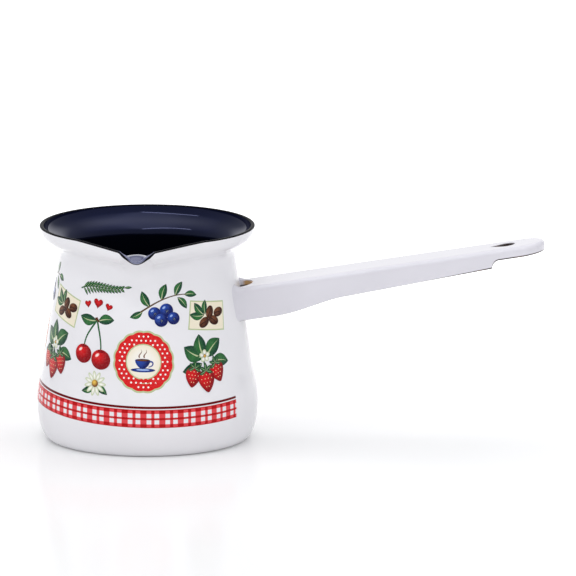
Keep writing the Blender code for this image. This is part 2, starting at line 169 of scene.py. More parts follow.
class PotFinishes(bpy.types.PropertyGroup):
    """Colours of the enamels and of the metal, and the painted reflections on the dark coat's
    flare and trough.
    """
    white: colour("White enamel", "White coat of the body", 236, 235, 238)
    handle_white: colour("Handle enamel", "White coat of the handle", 222, 220, 227)
    dark: colour("Dark enamel", "Coat inside the pot", 5, 7, 18)
    # Painted reflection: the next three colours are paler blues that stand in for the bright room
    # mirrored by the dark glaze on the flare, in the trough and on the bead's inner side there.
    painted_flare_reflection: colour("Dark enamel of the flare", "Coat inside the flare", 13, 17, 44)
    painted_trough_reflection: colour("Dark enamel of the trough", "Coat in the lip's trough", 52, 56, 104)
    painted_trough_edge_reflection: colour("Edge of the trough", "Bead's inner side at the trough", 100, 104, 140)
    rim: colour("Rim enamel", "Bead on the rim", 6, 7, 14)
    ground: colour("Ground coat", "Coat under the white one", 52, 38, 33)
    rust: colour("Thin ground coat", "Ground coat where it runs thin", 150, 96, 52)
    pooled: colour("Pooled coat", "Thin white coat over rust in the drain notch", 196, 156, 104)
    steel: colour("Steel", "Bare drawn steel", 176, 176, 180)


class PotStage(bpy.types.PropertyGroup):
    """Camera and floor."""
    azimuth: turn("Azimuth", "Camera's turn from the front towards the handle", 4.2)
    elevation: turn("Elevation", "Camera's height over the horizon", 11.25)
    distance: length("Distance", "From the camera to the pot", 5000.0)
    right: length("Right", "Camera's shift to the right", 65.9)
    up: length("Up", "Camera's shift upwards", 69.6)
    focal: FloatProperty(name="Focal length", description="Lens on a 36 mm sensor",
                         default=667.5, min=1.0, unit="CAMERA")
    floor: colour("Floor", "Floor and backdrop", 238, 238, 238)


# Shape of the wall and of the handle, as the frame was drawn

CORNER_EASE = (0.65, 0.59)
TUCK_EASE = (0.40, 0.23)
CONE_EASE = (0.30, 0.12)
FLARE_EASE = (0.42, 0.67)
CONE_LEAN = 0.75
LIP_FULLNESS = 1.15
SHOULDER_CURVE = 1.1
NUDGE = 0.001
RIM_PLACE = 4.0
CURVE_ROWS = (14, 8, 30, 24)
LIP_CROWDING = 0.6
BASE_RINGS = (0.1, 0.4, 0.7, 0.9)
BASE_PLACE = -1.0
HALVINGS = 40


def sizes():
    """Body and handle sizes of the scene."""
    return bpy.context.scene.pot_body, bpy.context.scene.pot_handle


def bezier(ends, handles, t):
    """Point at t on the cubic curve between two ends, with its two handle points."""
    s = 1.0 - t
    weights = (s ** 3, 3 * s * s * t, 3 * s * t * t, t ** 3)
    points = (ends[0], *handles, ends[1])
    return tuple(sum(w * p[k] for w, p in zip(weights, points)) for k in (0, 1))


def ease(share):
    """Smooth step from 0 to 1."""
    share = min(1.0, max(0.0, share))
    return share * share * (3.0 - 2.0 * share)


class Wall:
    """Outside of the body, by angle from the lip and by u, from 0 at the base to RIM_PLACE."""

    def __init__(self):
        self.sizes = b = sizes()[0]
        base = (b.belly_radius - b.corner_width, 0.0)
        belly = (b.belly_radius, b.belly_height)
        foot = (b.belly_radius - b.belly_tuck, b.belly_height + b.tuck_height)
        neck = (b.neck_radius, b.height - b.flare_height)
        rim = (b.rim_radius, b.height)
        tall = neck[1] - foot[1]
        taper = CONE_LEAN * (foot[0] - neck[0]) / tall
        up, down = CONE_EASE[0] * tall, TUCK_EASE[1] * b.tuck_height
        self.curves = (
            ((base, belly), ((base[0] + CORNER_EASE[0] * b.corner_width, 0.0),
                             (belly[0], belly[1] * (1.0 - CORNER_EASE[1])))),
            ((belly, foot), ((belly[0], belly[1] + TUCK_EASE[0] * b.tuck_height),
                             (foot[0] + taper * down, foot[1] - down))),
            ((foot, neck), ((foot[0] - taper * up, foot[1] + up),
                            (neck[0], neck[1] - CONE_EASE[1] * tall))),
            ((neck, rim), ((neck[0], neck[1] + FLARE_EASE[0] * b.flare_height),
                           (rim[0], rim[1] - FLARE_EASE[1] * b.flare_height))),
        )
        self.rows, self.columns, self.radii = {}, {}, {}

    def outline(self, u):
        """Radius and height of the round outline at u."""
        index = min(int(u), len(self.curves) - 1)
        return bezier(*self.curves[index], u - index)

    def radius(self, height):
        """Radius of the round outline at a height, found by halving."""
        if height not in self.radii:
            low, high = 0.0, RIM_PLACE
            for _ in range(HALVINGS):
                middle = (low + high) / 2
                if self.outline(middle)[1] < height:
                    low = middle
                else:
                    high = middle
            self.radii[height] = self.outline(low)[0]
        return self.radii[height]

    def column(self, angle):
        """The shoulders' pull forward and down at an angle, and the trough's share."""
        if angle not in self.columns:
            b = self.sizes
            across = abs(b.rim_radius * math.sin(angle))
            reach = b.rim_radius * math.sin(b.lip_angle)
            found = (0.0, 0.0, 0.0)
            if across < reach and math.cos(angle) > 0.0:
                beside = max(across, b.lip_half_width)
                straight = (b.rim_radius - beside * math.sin(b.lip_angle)) / math.cos(b.lip_angle)
                along = (reach - beside) / (reach - b.lip_half_width)
                trough = max(0.0, 1.0 - (across / b.lip_half_width) ** 2) ** LIP_FULLNESS
                found = (straight - math.sqrt(b.rim_radius ** 2 - across ** 2),
                         b.shoulder_dip * along ** SHOULDER_CURVE, trough)
            self.columns[angle] = found
        return self.columns[angle]

    def pull(self, height):
        """Share of the lip's pull at a height."""
        return ease((height - self.sizes.height + self.sizes.lip_depth) / self.sizes.lip_depth)

    def shoulder_line(self, u):
        """Reach and height of the shoulders' shape at the lip's middle."""
        radius, height = self.outline(u)
        share = self.pull(height)
        forward, down, _ = self.column(0.0)
        return Vector((radius + share * forward, height - share * down))

    def row(self, u):
        """Radius, height, share of the pull and the trough's shift at u."""
        if u not in self.rows:
            b = self.sizes
            radius, height = self.outline(u)
            share = self.pull(height)
            shift, neck = Vector((0.0, 0.0)), RIM_PLACE - 1.0
            if u > neck:
                start = self.shoulder_line(neck)
                leave = (self.shoulder_line(neck + NUDGE) - start) / (3.0 * NUDGE)
                end = self.shoulder_line(RIM_PLACE) + Vector((b.lip_pull, -b.lip_dip))
                arrive = FLARE_EASE[1] * b.flare_height * Vector((-math.cos(b.lip_curl),
                                                                  math.sin(b.lip_curl)))
                line = bezier((start, end), (start + leave, end + arrive), u - neck)
                shift = Vector(line) - self.shoulder_line(u)
            self.rows[u] = radius, height, share, shift
        return self.rows[u]

    def point(self, angle, u, depth=0.0):
        """Point at a depth into the wall, measured square to its outside."""
        if depth:
            low, high = max(0.0, u - NUDGE), min(RIM_PLACE, u + NUDGE)
            around = self.point(angle + NUDGE, u) - self.point(angle - NUDGE, u)
            normal = around.cross(self.point(angle, high) - self.point(angle, low)).normalized()
            return self.point(angle, u) - depth * normal
        radius, height, share, shift = self.row(u)
        forward, down, trough = self.column(angle)
        return Vector((radius * math.sin(angle),
                       -radius * math.cos(angle) - share * forward - trough * shift.x,
                       height - share * down + trough * shift.y))

    def below_rim(self, angle, distance):
        """Place a small distance down from the rim."""
        rise = self.point(angle, RIM_PLACE) - self.point(angle, RIM_PLACE - NUDGE)
        return RIM_PLACE - distance * NUDGE / rise.length


STEP_ROWS, WAIST_ROWS = 10, 14
ROOT_SINK = 0.6


class Handle:
    """Places along the handle, worked out from its sizes."""

    def __init__(self):
        body, self.sizes = sizes()
        self.body = Wall()
        self.height = body.height - body.flare_height - self.sizes.drop
        self.root = self.body.radius(self.height)
        self.tip = self.root + self.sizes.reach
        self.centre = self.tip - self.sizes.tip_radius
        self.step = self.tip - self.sizes.step_to_tip

    def top(self, x):
        """Height of the handle's top face at x."""
        return self.height + math.tan(self.sizes.rise) * (x - self.root)

    def half_width(self, x):
        """Half the handle's width at x."""
        share = (x - self.root) / (self.centre - self.root)
        s = self.sizes
        return s.root_half_width + (s.tip_radius - s.root_half_width) * share

    def wall(self, x):
        """Depth of the side wall at x: deep root, waist, step and tip."""
        s = self.sizes
        waist = self.root + s.waist_start
        past = waist + s.waist_length
        if x <= past:
            return s.root_wall + (s.middle_wall - s.root_wall) * ease((x - waist) / s.waist_length)
        if x <= self.step:
            share = (x - past) / (self.step - past)
            return s.middle_wall + (s.step_wall - s.middle_wall) * share
        along = min(1.0, (x - self.step) / s.step_length)
        rise = math.sqrt(max(0.0, 1.0 - (1.0 - along) ** 2))
        return s.step_wall + (s.tip_wall - s.step_wall) * rise

    def stations(self):
        """Places along the side walls, from the tip's middle back into the body."""
        s = self.sizes
        turns = [math.pi / 2 * k / STEP_ROWS for k in range(STEP_ROWS + 1)]
        places = [self.step + s.step_length * (1.0 - math.cos(t)) for t in turns]
        waist = self.root + s.waist_start
        places += [waist + s.waist_length * k / WAIST_ROWS for k in range(WAIST_ROWS + 1)]
        places += [(self.step + waist + s.waist_length) / 2, self.root + s.waist_start / 2,
                   self.root, self.root - ROOT_SINK * s.root_half_width]
        return sorted(places, reverse=True)


# Modelling steps

def rest():
    """Leave edit mode and deselect everything."""
    if bpy.context.object and bpy.context.object.mode != "OBJECT":
        bpy.ops.object.mode_set(mode="OBJECT")
    bpy.ops.object.select_all(action="DESELECT")


def activate(thing):
    """Make one object the selected and active one."""
    rest()
    thing.select_set(True)
    bpy.context.view_layer.objects.active = thing


def settle(name):
    """Name the new primitive and keep its place in its mesh."""
    thing = bpy.context.object
    thing.name = thing.data.name = name
    bpy.ops.object.transform_apply(location=True, rotation=True, scale=True)
    return thing


def choose(thing, kind, test):
    """Enter edit mode with the vertices, edges or faces that pass a test selected."""
    activate(thing)
    bpy.ops.object.mode_set(mode="EDIT")
    bpy.ops.mesh.select_mode(type=kind)
    bpy.ops.mesh.select_all(action="DESELECT")
    bpy.ops.object.mode_set(mode="OBJECT")
    mesh = thing.data
    if kind == "FACE":
        for face in mesh.polygons:
            face.select = test(face.center, face.normal)
    elif kind == "EDGE":
        for edge in mesh.edges:
            edge.select = test(*(mesh.vertices[k].co for k in edge.vertices))
    else:
        for vertex in mesh.vertices:
            vertex.select = test(vertex.co)
    bpy.ops.object.mode_set(mode="EDIT")


def modify(thing, kind, **settings):
    """Add a modifier and apply it."""
    activate(thing)
    bpy.ops.object.modifier_add(type=kind)
    modifier = thing.modifiers[-1]
    for name, value in settings.items():
        setattr(modifier, name, value)
    bpy.ops.object.modifier_apply(modifier=modifier.name)


def copy_of(thing, name):
    """Copy with its own mesh."""
    other = thing.copy()
    other.data = thing.data.copy()
    other.name = other.data.name = name
    bpy.context.scene.collection.objects.link(other)
    return other


def discard(*things):
    """Remove helpers that were only needed for cutting or copying."""
    rest()
    for thing in things:
        bpy.data.objects.remove(thing, do_unlink=True)


def extrude(x=0.0, y=0.0, z=0.0):
    """Extrude what is selected."""
    bpy.ops.mesh.extrude_region_move(TRANSFORM_OT_translate={"value": (x, y, z)})


def outward():
    """Turn all faces outwards and leave edit mode."""
    bpy.ops.mesh.select_all(action="SELECT")
    bpy.ops.mesh.normals_make_consistent(inside=False)
    bpy.ops.object.mode_set(mode="OBJECT")


def turned(name, stations, columns, closed=False):
    """Wall turned round the Z axis: a filled circle is extruded up and scaled at each station."""
    rest()
    radius, height = stations[0]
    bpy.ops.mesh.primitive_circle_add(vertices=columns, radius=radius, fill_type="TRIFAN",
                                      location=(0.0, 0.0, height))
    thing = settle(name)
    bpy.ops.object.mode_set(mode="EDIT")
    bpy.ops.mesh.select_mode(type="EDGE")
    bpy.ops.mesh.select_all(action="DESELECT")
    bpy.ops.mesh.select_non_manifold(use_wire=False, use_multi_face=False,
                                     use_non_contiguous=False, use_verts=False)
    for next_radius, next_height in stations[1:]:
        extrude(z=next_height - height)
        scale = next_radius / radius
        bpy.ops.transform.resize(value=(scale, scale, 1.0),
                                 center_override=(0.0, 0.0, next_height))
        radius, height = next_radius, next_height
    if closed:
        bpy.ops.mesh.edge_face_add()
    outward()
    lowest = min(thing.data.polygons, key=lambda face: face.center.z)
    if lowest.normal.z > 0.0:
        flip(thing)
    return thing


def flip(thing):
    """Turn every face round."""
    choose(thing, "FACE", lambda centre, normal: True)
    bpy.ops.mesh.flip_normals()
    bpy.ops.object.mode_set(mode="OBJECT")


def crowded(angle):
    """Angle of a column once the columns are drawn together at the lip."""
    return angle - LIP_CROWDING * math.sin(angle)


def mark(thing, name, values):
    """Give each vertex its value of a new attribute."""
    thing.data.attributes.new(name, "FLOAT", "POINT").data.foreach_set("value", values)


def wall_sheet(name):
    """Sheet of the body's wall with its lip, up to the bead on the rim."""
    b, _ = sizes()
    wall = Wall()
    base = b.belly_radius - b.corner_width
    places = [i + k / count for i, count in enumerate(CURVE_ROWS) for k in range(count)]
    places.append(RIM_PLACE)
    stations = [(base * share, 0.0) for share in BASE_RINGS]
    thing = turned(name, stations + [wall.outline(u) for u in places], b.columns)
    row_of = {round(wall.outline(u)[1] / MM, 3): u for u in places[1:]}
    mesh = thing.data
    mark(thing, "Angle", [crowded(math.atan2(v.co.x, -v.co.y)) for v in mesh.vertices])
    mark(thing, "Place", [row_of.get(round(v.co.z / MM, 3), BASE_PLACE) for v in mesh.vertices])
    lay(thing, 0.0)
    return thing


def lay(thing, *depths):
    """Lay the vertices of a sheet on the wall, an equal share of them at each depth."""
    b, _ = sizes()
    wall = Wall()
    neck = RIM_PLACE - 1.0
    mesh = thing.data
    share = len(mesh.vertices) // len(depths)
    angles, places = mesh.attributes["Angle"].data, mesh.attributes["Place"].data
    for vertex in mesh.vertices:
        depth = depths[vertex.index // share]
        angle, u = angles[vertex.index].value, places[vertex.index].value
        if u < 0.0:
            wide = vertex.co.xy.length
            vertex.co = (wide * math.sin(angle), -wide * math.cos(angle), depth)
        else:
            top = wall.below_rim(angle, b.bead) - neck
            vertex.co = wall.point(angle, min(u, neck + (u - neck) * top), depth)


def thicken(thing, depth, inner):
    """Thicken a sheet of the wall and lay its two sides at their own depths."""
    modify(thing, "SOLIDIFY", thickness=inner - depth, offset=-1.0)
    lay(thing, depth, inner)
    for name in ("Angle", "Place"):
        thing.data.attributes.remove(thing.data.attributes[name])
    smooth(thing)


def smooth(thing, degrees=35.0):
    """Shade smooth, with edges past an angle kept sharp."""
    activate(thing)
    bpy.ops.object.shade_smooth_by_angle(angle=math.radians(degrees))


def swept(name, rings, joined=False):
    """Closed tube through rings of points: a grid is added and bent into place."""
    rest()
    around, along = len(rings[0]), len(rings) if joined else len(rings) - 1
    bpy.ops.mesh.primitive_grid_add(x_subdivisions=along, y_subdivisions=around, size=2.0)
    thing = settle(name)
    for vertex in thing.data.vertices:
        i = round((vertex.co.x + 1.0) / 2.0 * along) % len(rings)
        j = round((vertex.co.y + 1.0) / 2.0 * around) % around
        vertex.co = rings[i][j]
    choose(thing, "VERT", lambda co: True)
    bpy.ops.mesh.remove_doubles(threshold=TINY)
    if not joined:
        bpy.ops.mesh.fill_holes(sides=0)
    outward()
    return thing


def on_body(thing, material, slot, *nodes):
    """Give a piece its material, let it ride, and let it stand for its CAD nodes. The slot is not
    used.
    """
    thing.data.materials.clear()
    thing.data.materials.append(material)
    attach(thing, BODY)
    if nodes:
        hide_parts(*nodes)


# Materials

BLACK, PLAIN_WHITE = (0.0, 0.0, 0.0), (1.0, 1.0, 1.0)

# Glaze: size of each noise in waves per metre, and how much it does
RIPPLE_SCALE, SKIN_SCALE, TONE_SCALE, ROUGH_SCALE = 55.0, 420.0, 24.0, 130.0
SKIN_SHARE, ROUGH_SPREAD, TONE_RANGE = 0.12, 0.05, (0.3, 0.7)
GLAZE_LIFT = 0.2 * MM
PALE_IOR, RIM_IOR = 1.25, 1.15

# Checked band: softness of its edges, and how strong the ink lies on each part
EDGE_BLUR, TURN_BLUR = 0.12 * MM, math.radians(0.16)
EDGE_INK, CORE_INK, WORN_INK = 0.8, 0.65, 0.08
BAND_WEAR_SCALE, BAND_WEAR = 900.0, (0.25, 0.95)
PRINT_WEAR_SCALE, PRINT_WEAR, PRINT_FADE = 1100.0, (0.3, 0.9), 0.12

# Dark coats: where the painted reflections on the flare and in the trough begin, and the thicker
# coat in the trough
DULL_SHARE, BLUE_SHEEN, SHEEN_LEVEL = 0.4, (0.50, 0.56, 1.0), 0.7
PAINTED_FLARE_BLEND = 5.0 * MM
TROUGH_BLUR, TROUGH_START, TROUGH_FULL = 0.8 * MM, 5.0 * MM, 1.0 * MM
TROUGH_IOR, TROUGH_REFLECTION_ON_BEAD = 2.2, (0.46, 0.60)

# Ground coat: where it runs thin, and where the white coat wraps round its edge and the notch
THIN_SCALE, THIN_RANGE, THIN_RUST = 160.0, (0.52, 0.72), 0.55
CHIP_SCALE, CHIP_RANGE = 330.0, (0.66, 0.72)
UNDERSIDE, WRAP_END = (-0.75, -0.35), (2.0 * MM, 0.5 * MM)
NOTCH_BLEND, RUST_BLEND = (8.0 * MM, 13.0 * MM), (0.5 * MM, 2.5 * MM)

# Bare metal
MARK_SCALE, MARK_STRETCH, MARK_LIFT = 1800.0, (1.0, 1.0, 0.08), 0.1 * MM
BLOTCH_SCALE, BLOTCH_SHADE = 120.0, 0.75
WELD_SCALE, WELD_DARK, WELD_PALE = 400.0, linear(74, 62, 56), linear(140, 128, 120)


class Net:
    """Short way to place and join shader nodes."""

    def __init__(self, tree):
        self.tree = tree

    def node(self, kind, inputs=None, **settings):
        """Add a node, set it up and feed its inputs."""
        made = self.tree.nodes.new(kind)
        for name, value in settings.items():
            setattr(made, name, value)
        self.feed(made, inputs or {})
        return made

    def feed(self, node, inputs):
        """Join inputs of a node to sockets, or set their values."""
        for key, value in inputs.items():
            socket = node.inputs[key]
            if isinstance(value, bpy.types.NodeSocket):
                self.tree.links.new(value, socket)
            elif hasattr(value, "__len__") and len(value) == 3 and socket.type == "RGBA":
                socket.default_value = (*value, 1.0)
            else:
                socket.default_value = value

    def math(self, operation, *values):
        """Result of a Math node."""
        inputs = dict(enumerate(values))
        return self.node("ShaderNodeMath", inputs, operation=operation).outputs[0]

    def product(self, first, *others):
        """Product of values."""
        for other in others:
            first = self.math("MULTIPLY", first, other)
        return first

    def less(self, value):
        """What is left of 1 after a value."""
        return self.math("SUBTRACT", 1.0, value)

    def axes(self, place):
        """X, Y and Z of a place."""
        return tuple(self.node("ShaderNodeSeparateXYZ", {0: place}).outputs)

    def mix(self, share, first, second):
        """Mix of two colours."""
        inputs = {0: share, 6: first, 7: second}
        return self.node("ShaderNodeMix", inputs, data_type="RGBA").outputs[2]

    def ramp(self, value, low, high, first=0.0, last=1.0):
        """First below low, last above high, smooth between them."""
        inputs = {0: value, 1: low, 2: high, 3: first, 4: last}
        return self.node("ShaderNodeMapRange", inputs,
                         interpolation_type="SMOOTHSTEP").outputs[0]

    def inside(self, value, centre, half, soft):
        """1 where a value lies within half of a centre, with a soft edge."""
        away = self.math("ABSOLUTE", self.math("SUBTRACT", value, centre))
        return self.ramp(away, half - soft, half + soft, 1.0, 0.0)

    def noise(self, place, scale, detail=3.0):
        """Noise value at a place."""
        inputs = {"Vector": place, "Scale": scale, "Detail": detail}
        return self.node("ShaderNodeTexNoise", inputs).outputs[0]

    def bump(self, height, strength, distance):
        """Normal raised by a height."""
        inputs = {"Strength": strength, "Distance": distance, "Height": height}
        return self.node("ShaderNodeBump", inputs).outputs[0]

    def seen(self):
        """1 for rays that show something, straight, mirrored or through glass, 0 for light."""
        path = self.node("ShaderNodeLightPath").outputs
        beyond = self.math("MAXIMUM", path["Is Glossy Ray"], path["Is Transmission Ray"])
        return self.math("MAXIMUM", path["Is Camera Ray"], beyond)


def glaze_group():
    """Fired glaze: slow ripples, a fine skin and a drifting tone."""
    group = bpy.data.node_groups.get("Fired_glaze")
    if group:
        return group
    group = bpy.data.node_groups.new("Fired_glaze", "ShaderNodeTree")
    face = group.interface
    face.new_socket("Place", in_out="INPUT", socket_type="NodeSocketVector")
    for name, value in (("Ripple", 1.0), ("Gloss", 0.08)):
        face.new_socket(name, in_out="INPUT", socket_type="NodeSocketFloat").default_value = value
    for name in ("Height", "Tone", "Roughness"):
        face.new_socket(name, in_out="OUTPUT", socket_type="NodeSocketFloat")
    net = Net(group)
    given = net.node("NodeGroupInput").outputs
    place = given["Place"]
    slow, skin = net.noise(place, RIPPLE_SCALE, 2.0), net.noise(place, SKIN_SCALE)
    height = net.product(net.math("MULTIPLY_ADD", skin, SKIN_SHARE, slow), given["Ripple"])
    tone = net.ramp(net.noise(place, TONE_SCALE), *TONE_RANGE)
    rough = net.math("MULTIPLY_ADD", net.noise(place, ROUGH_SCALE), ROUGH_SPREAD,
                     given["Gloss"])
    net.node("NodeGroupOutput", {"Height": height, "Tone": tone, "Roughness": rough})
    return group


def material(name):
    """New material with its net, its Principled shader and its Object coordinates."""
    made = bpy.data.materials.new(name)
    made.use_nodes = True
    net = Net(made.node_tree)
    place = net.node("ShaderNodeTexCoord").outputs["Object"]
    return made, net, made.node_tree.nodes["Principled BSDF"], place


def glazed(name, ripple, gloss, bump=0.08):
    """New material with the fired glaze over it, and the glaze's tone."""
    made, net, shader, place = material(name)
    out = net.node("ShaderNodeGroup", {"Place": place, "Ripple": ripple, "Gloss": gloss},
                   node_tree=glaze_group()).outputs
    net.feed(shader, {"Normal": net.bump(out["Height"], bump, GLAZE_LIFT),
                      "Roughness": out["Roughness"]})
    return made, net, shader, place, out["Tone"]


def shaded(tint, share):
    """Darker shade of a colour."""
    return tuple(c * share for c in tint)


def check_print(net, place, base):
    """Checked band and fine line, laid round the body over a base colour."""
    p = bpy.context.scene.pot_print
    x, y, z = net.axes(place)
    around = net.math("ARCTAN2", x, net.product(y, -1.0))
    aside = net.less(net.math("MAXIMUM", net.math("COSINE", around), 0.0))
    fall = net.product(net.math("SINE", around), -p.tilt)
    height = net.math("SUBTRACT", z, net.math("MULTIPLY_ADD", aside, p.rise, fall))
    from_middle = net.math("ABSOLUTE", net.math("SUBTRACT", height, p.band_height))
    wave = net.math("PINGPONG", net.math("ADD", around, 2 * math.pi + p.pair_phase),
                    p.pair_turn / 2)
    column = net.inside(wave, p.column_turn, p.column_width / 2, TURN_BLUR)
    row = net.inside(from_middle, p.row_place, p.row_width / 2, EDGE_BLUR)
    band = net.inside(height, p.band_height, p.band_width / 2, EDGE_BLUR)
    core = net.inside(height, p.band_height, p.row_place - p.row_width / 2, EDGE_BLUR)
    border = p.band_width / 2 - p.edge_width
    edge = net.ramp(from_middle, border - EDGE_BLUR, border + EDGE_BLUR)
    line = net.inside(height, p.line_height, p.line_width / 2, EDGE_BLUR)
    kept = net.less(net.inside(around, math.pi / 2, p.open_turn, TURN_BLUR))
    deep = net.math("MAXIMUM", net.product(edge, EDGE_INK), net.product(core, CORE_INK))
    weak = net.product(net.ramp(net.noise(place, BAND_WEAR_SCALE), *BAND_WEAR), WORN_INK)
    ink = net.mix(net.math("MAXIMUM", row, column), p.red, p.pale_red)
    ink = net.mix(weak, net.mix(deep, ink, p.red), p.pale_red)
    cover = net.product(band, net.less(net.product(row, column)), kept)
    return net.mix(net.product(line, kept), net.mix(cover, base, ink), p.line_red)


def white_enamel():
    """White coat of the body, with the checked band fired into it."""
    f = bpy.context.scene.pot_finish
    made, net, shader, place, tone = glazed("White_enamel", 1.0, 0.05)
    base = net.mix(tone, shaded(f.white, 0.965), f.white)
    net.feed(shader, {"Base Color": check_print(net, place, base), "IOR": PALE_IOR})
    return made


def handle_enamel():
    """White coat of the handle, a little greyer."""
    f = bpy.context.scene.pot_finish
    made, net, shader, _, tone = glazed("Handle_enamel", 1.4, 0.07, 0.10)
    net.feed(shader, {"Base Color": net.mix(tone, shaded(f.handle_white, 0.95), f.handle_white)})
    return made


def trough_share(net, place):
    """1 in the lip's trough, 0 elsewhere."""
    b, _ = sizes()
    x, y, _ = net.axes(place)
    within = net.inside(x, 0.0, b.lip_half_width, TROUGH_BLUR)
    reach = net.ramp(net.product(y, -1.0), b.rim_radius - TROUGH_START,
                     b.rim_radius - TROUGH_FULL)
    return net.product(within, reach)


def coat_dark(net, shader, tone, tint, share):
    """Give a dark coat its colour, duller with the tone, and a glossy coat over a share of it."""
    dull = net.mix(DULL_SHARE, tint, BLACK)
    net.feed(shader, {"Base Color": net.mix(tone, dull, tint), "Coat IOR": TROUGH_IOR,
                      "Coat Weight": share})


def dark_enamel():
    """Dark glossy coat inside, with painted reflection: a paler blue on the flare and a paler one
    still in the trough, where the coat is also thickest, so glossiest.
    """
    f = bpy.context.scene.pot_finish
    b, _ = sizes()
    made, net, shader, place, tone = glazed("Dark_enamel", 0.6, 0.04)
    neck = b.height - b.flare_height
    trough = trough_share(net, place)
    # Painted reflection: the flare and the trough get paler blue colours in place of the bright
    # room mirrored there.
    flare = net.ramp(net.axes(place)[2], neck, neck + PAINTED_FLARE_BLEND)
    tint = net.mix(trough, net.mix(flare, f.dark, f.painted_flare_reflection), f.painted_trough_reflection)
    coat_dark(net, shader, tone, tint, trough)
    net.feed(shader, {"Specular IOR Level": SHEEN_LEVEL, "Specular Tint": BLUE_SHEEN})
    return made


def rim_enamel():
    """Dark bead, duller than the coat inside and like it on its inner side at the trough, where it
    gets a paler grey-blue painted reflection.
    """
    f = bpy.context.scene.pot_finish
    made, net, shader, place, tone = glazed("Rim_enamel", 0.6, 0.4)
    inner = net.node("ShaderNodeAttribute", attribute_name="Inner").outputs["Fac"]
    # Painted reflection: the bead's inner side at the trough takes a paler grey-blue, with the
    # trough's glossy coat over it.
    reflection_and_coat = net.product(net.ramp(inner, *TROUGH_REFLECTION_ON_BEAD), trough_share(net, place))
    coat_dark(net, shader, tone, net.mix(reflection_and_coat, f.rim, f.painted_trough_edge_reflection), reflection_and_coat)
    net.feed(shader, {"IOR": RIM_IOR})
    return made


def ground_coat(name, wrapped_edge):
    """Dark ground coat, rusty where it runs thin and white where the top coat wraps round."""
    f = bpy.context.scene.pot_finish
    h = Handle()
    made, net, shader, place, tone = glazed(name, 1.5, 0.28, 0.3)
    x = net.axes(place)[0]
    thin = net.ramp(net.noise(place, THIN_SCALE, 4.0), *THIN_RANGE)
    base = net.mix(net.product(thin, THIN_RUST), f.ground, f.rust)
    base = net.mix(net.product(tone, 0.4), base, shaded(f.ground, 0.5))
    if wrapped_edge:
        facing = net.axes(net.node("ShaderNodeNewGeometry").outputs["Normal"])[2]
        under = net.less(net.ramp(facing, *UNDERSIDE))
        before = net.less(net.ramp(x, *(h.step - away for away in WRAP_END)))
        chipped = net.ramp(net.noise(place, CHIP_SCALE), *CHIP_RANGE)
        base = net.mix(net.product(under, before, net.less(chipped)), base, f.handle_white)
    notch = net.node("ShaderNodeVectorMath", {0: place, 1: (h.root, 0.0, h.height)},
                     operation="DISTANCE").outputs["Value"]
    near = net.less(net.ramp(notch, *NOTCH_BLEND))
    rusty = net.ramp(x, *(h.root + out for out in RUST_BLEND))
    base = net.mix(near, base, net.mix(rusty, f.handle_white, f.pooled))
    net.feed(shader, {"Base Color": base})
    return made


def drawn_steel(name, tint, gloss):
    """Bare steel with fine drawing marks."""
    made, net, shader, place = material(name)
    stretch = net.node("ShaderNodeMapping", {"Vector": place, "Scale": MARK_STRETCH})
    marks = net.noise(stretch.outputs[0], MARK_SCALE)
    base = net.mix(net.noise(place, BLOTCH_SCALE), shaded(tint, BLOTCH_SHADE), tint)
    net.feed(shader, {"Base Color": base, "Metallic": 1.0,
                      "Roughness": net.math("MULTIPLY_ADD", marks, 0.2, gloss),
                      "Normal": net.bump(marks, 0.15, MARK_LIFT)})
    return made


def weld_metal():
    """Dull scaly metal of the weld."""
    made, net, shader, place = material("Weld")
    scale = net.noise(place, WELD_SCALE)
    net.feed(shader, {"Base Color": net.mix(scale, WELD_DARK, WELD_PALE), "Metallic": 1.0,
                      "Roughness": net.math("MULTIPLY_ADD", scale, 0.3, 0.4)})
    return made


def printed_ink():
    """Fired inks of the small prints, read from each print's own colours."""
    made, net, shader, place, _ = glazed("Printed_ink", 1.0, 0.07)
    ink = net.node("ShaderNodeAttribute", attribute_name="Ink").outputs["Color"]
    weak = net.product(net.ramp(net.noise(place, PRINT_WEAR_SCALE, 4.0), *PRINT_WEAR), 0.3)
    base = net.mix(weak, ink, net.mix(PRINT_FADE, ink, PLAIN_WHITE))
    net.feed(shader, {"Base Color": base, "IOR": PALE_IOR})
    return made


# Fired prints

GREEN, DARK_GREEN, SAGE = linear(52, 112, 58), linear(22, 66, 46), linear(186, 198, 152)
BLUE, DARK_BLUE, PALE_BLUE = linear(38, 74, 168), linear(14, 26, 92), linear(150, 176, 226)
RED, DARK_RED, PALE_RED = linear(216, 26, 30), linear(136, 10, 20), linear(244, 128, 120)
CREAM, BROWN, DARK_BROWN = linear(240, 231, 208), linear(116, 68, 40), linear(58, 30, 20)
YELLOW, PAPER = linear(240, 196, 84), linear(250, 248, 244)
LAYER = 0.028
INK_DEPTH = 0.05
SETS = 3
DISC_SPOKES, WIDE_SPOKES, STRIP_STEPS = 24, 96, 14


def round_blank(spokes):
    """Disc of radius 1 with rings, from which every round shape of a print is copied."""
    rest()
    bpy.ops.mesh.primitive_circle_add(vertices=spokes, radius=1.0, fill_type="NGON")
    thing = settle("round_blank")
    bpy.ops.object.mode_set(mode="EDIT")
    bpy.ops.mesh.select_mode(type="FACE")
    bpy.ops.mesh.select_all(action="SELECT")
    for _ in range(3):
        bpy.ops.mesh.inset(thickness=0.24)
    bpy.ops.mesh.poke()
    bpy.ops.object.mode_set(mode="OBJECT")
    return thing


def strip_blank():
    """Strip from -1 to 1, from which every stroke of a print is copied."""
    rest()
    bpy.ops.mesh.primitive_grid_add(x_subdivisions=STRIP_STEPS, y_subdivisions=2, size=2.0)
    return settle("strip_blank")


def spot(x, y, lean):
    """Function that turns a point by a lean in degrees and moves it by x, y."""
    c, s = math.cos(math.radians(lean)), math.sin(math.radians(lean))
    return lambda a, b: (x + c * a - s * b, y + s * a + c * b)


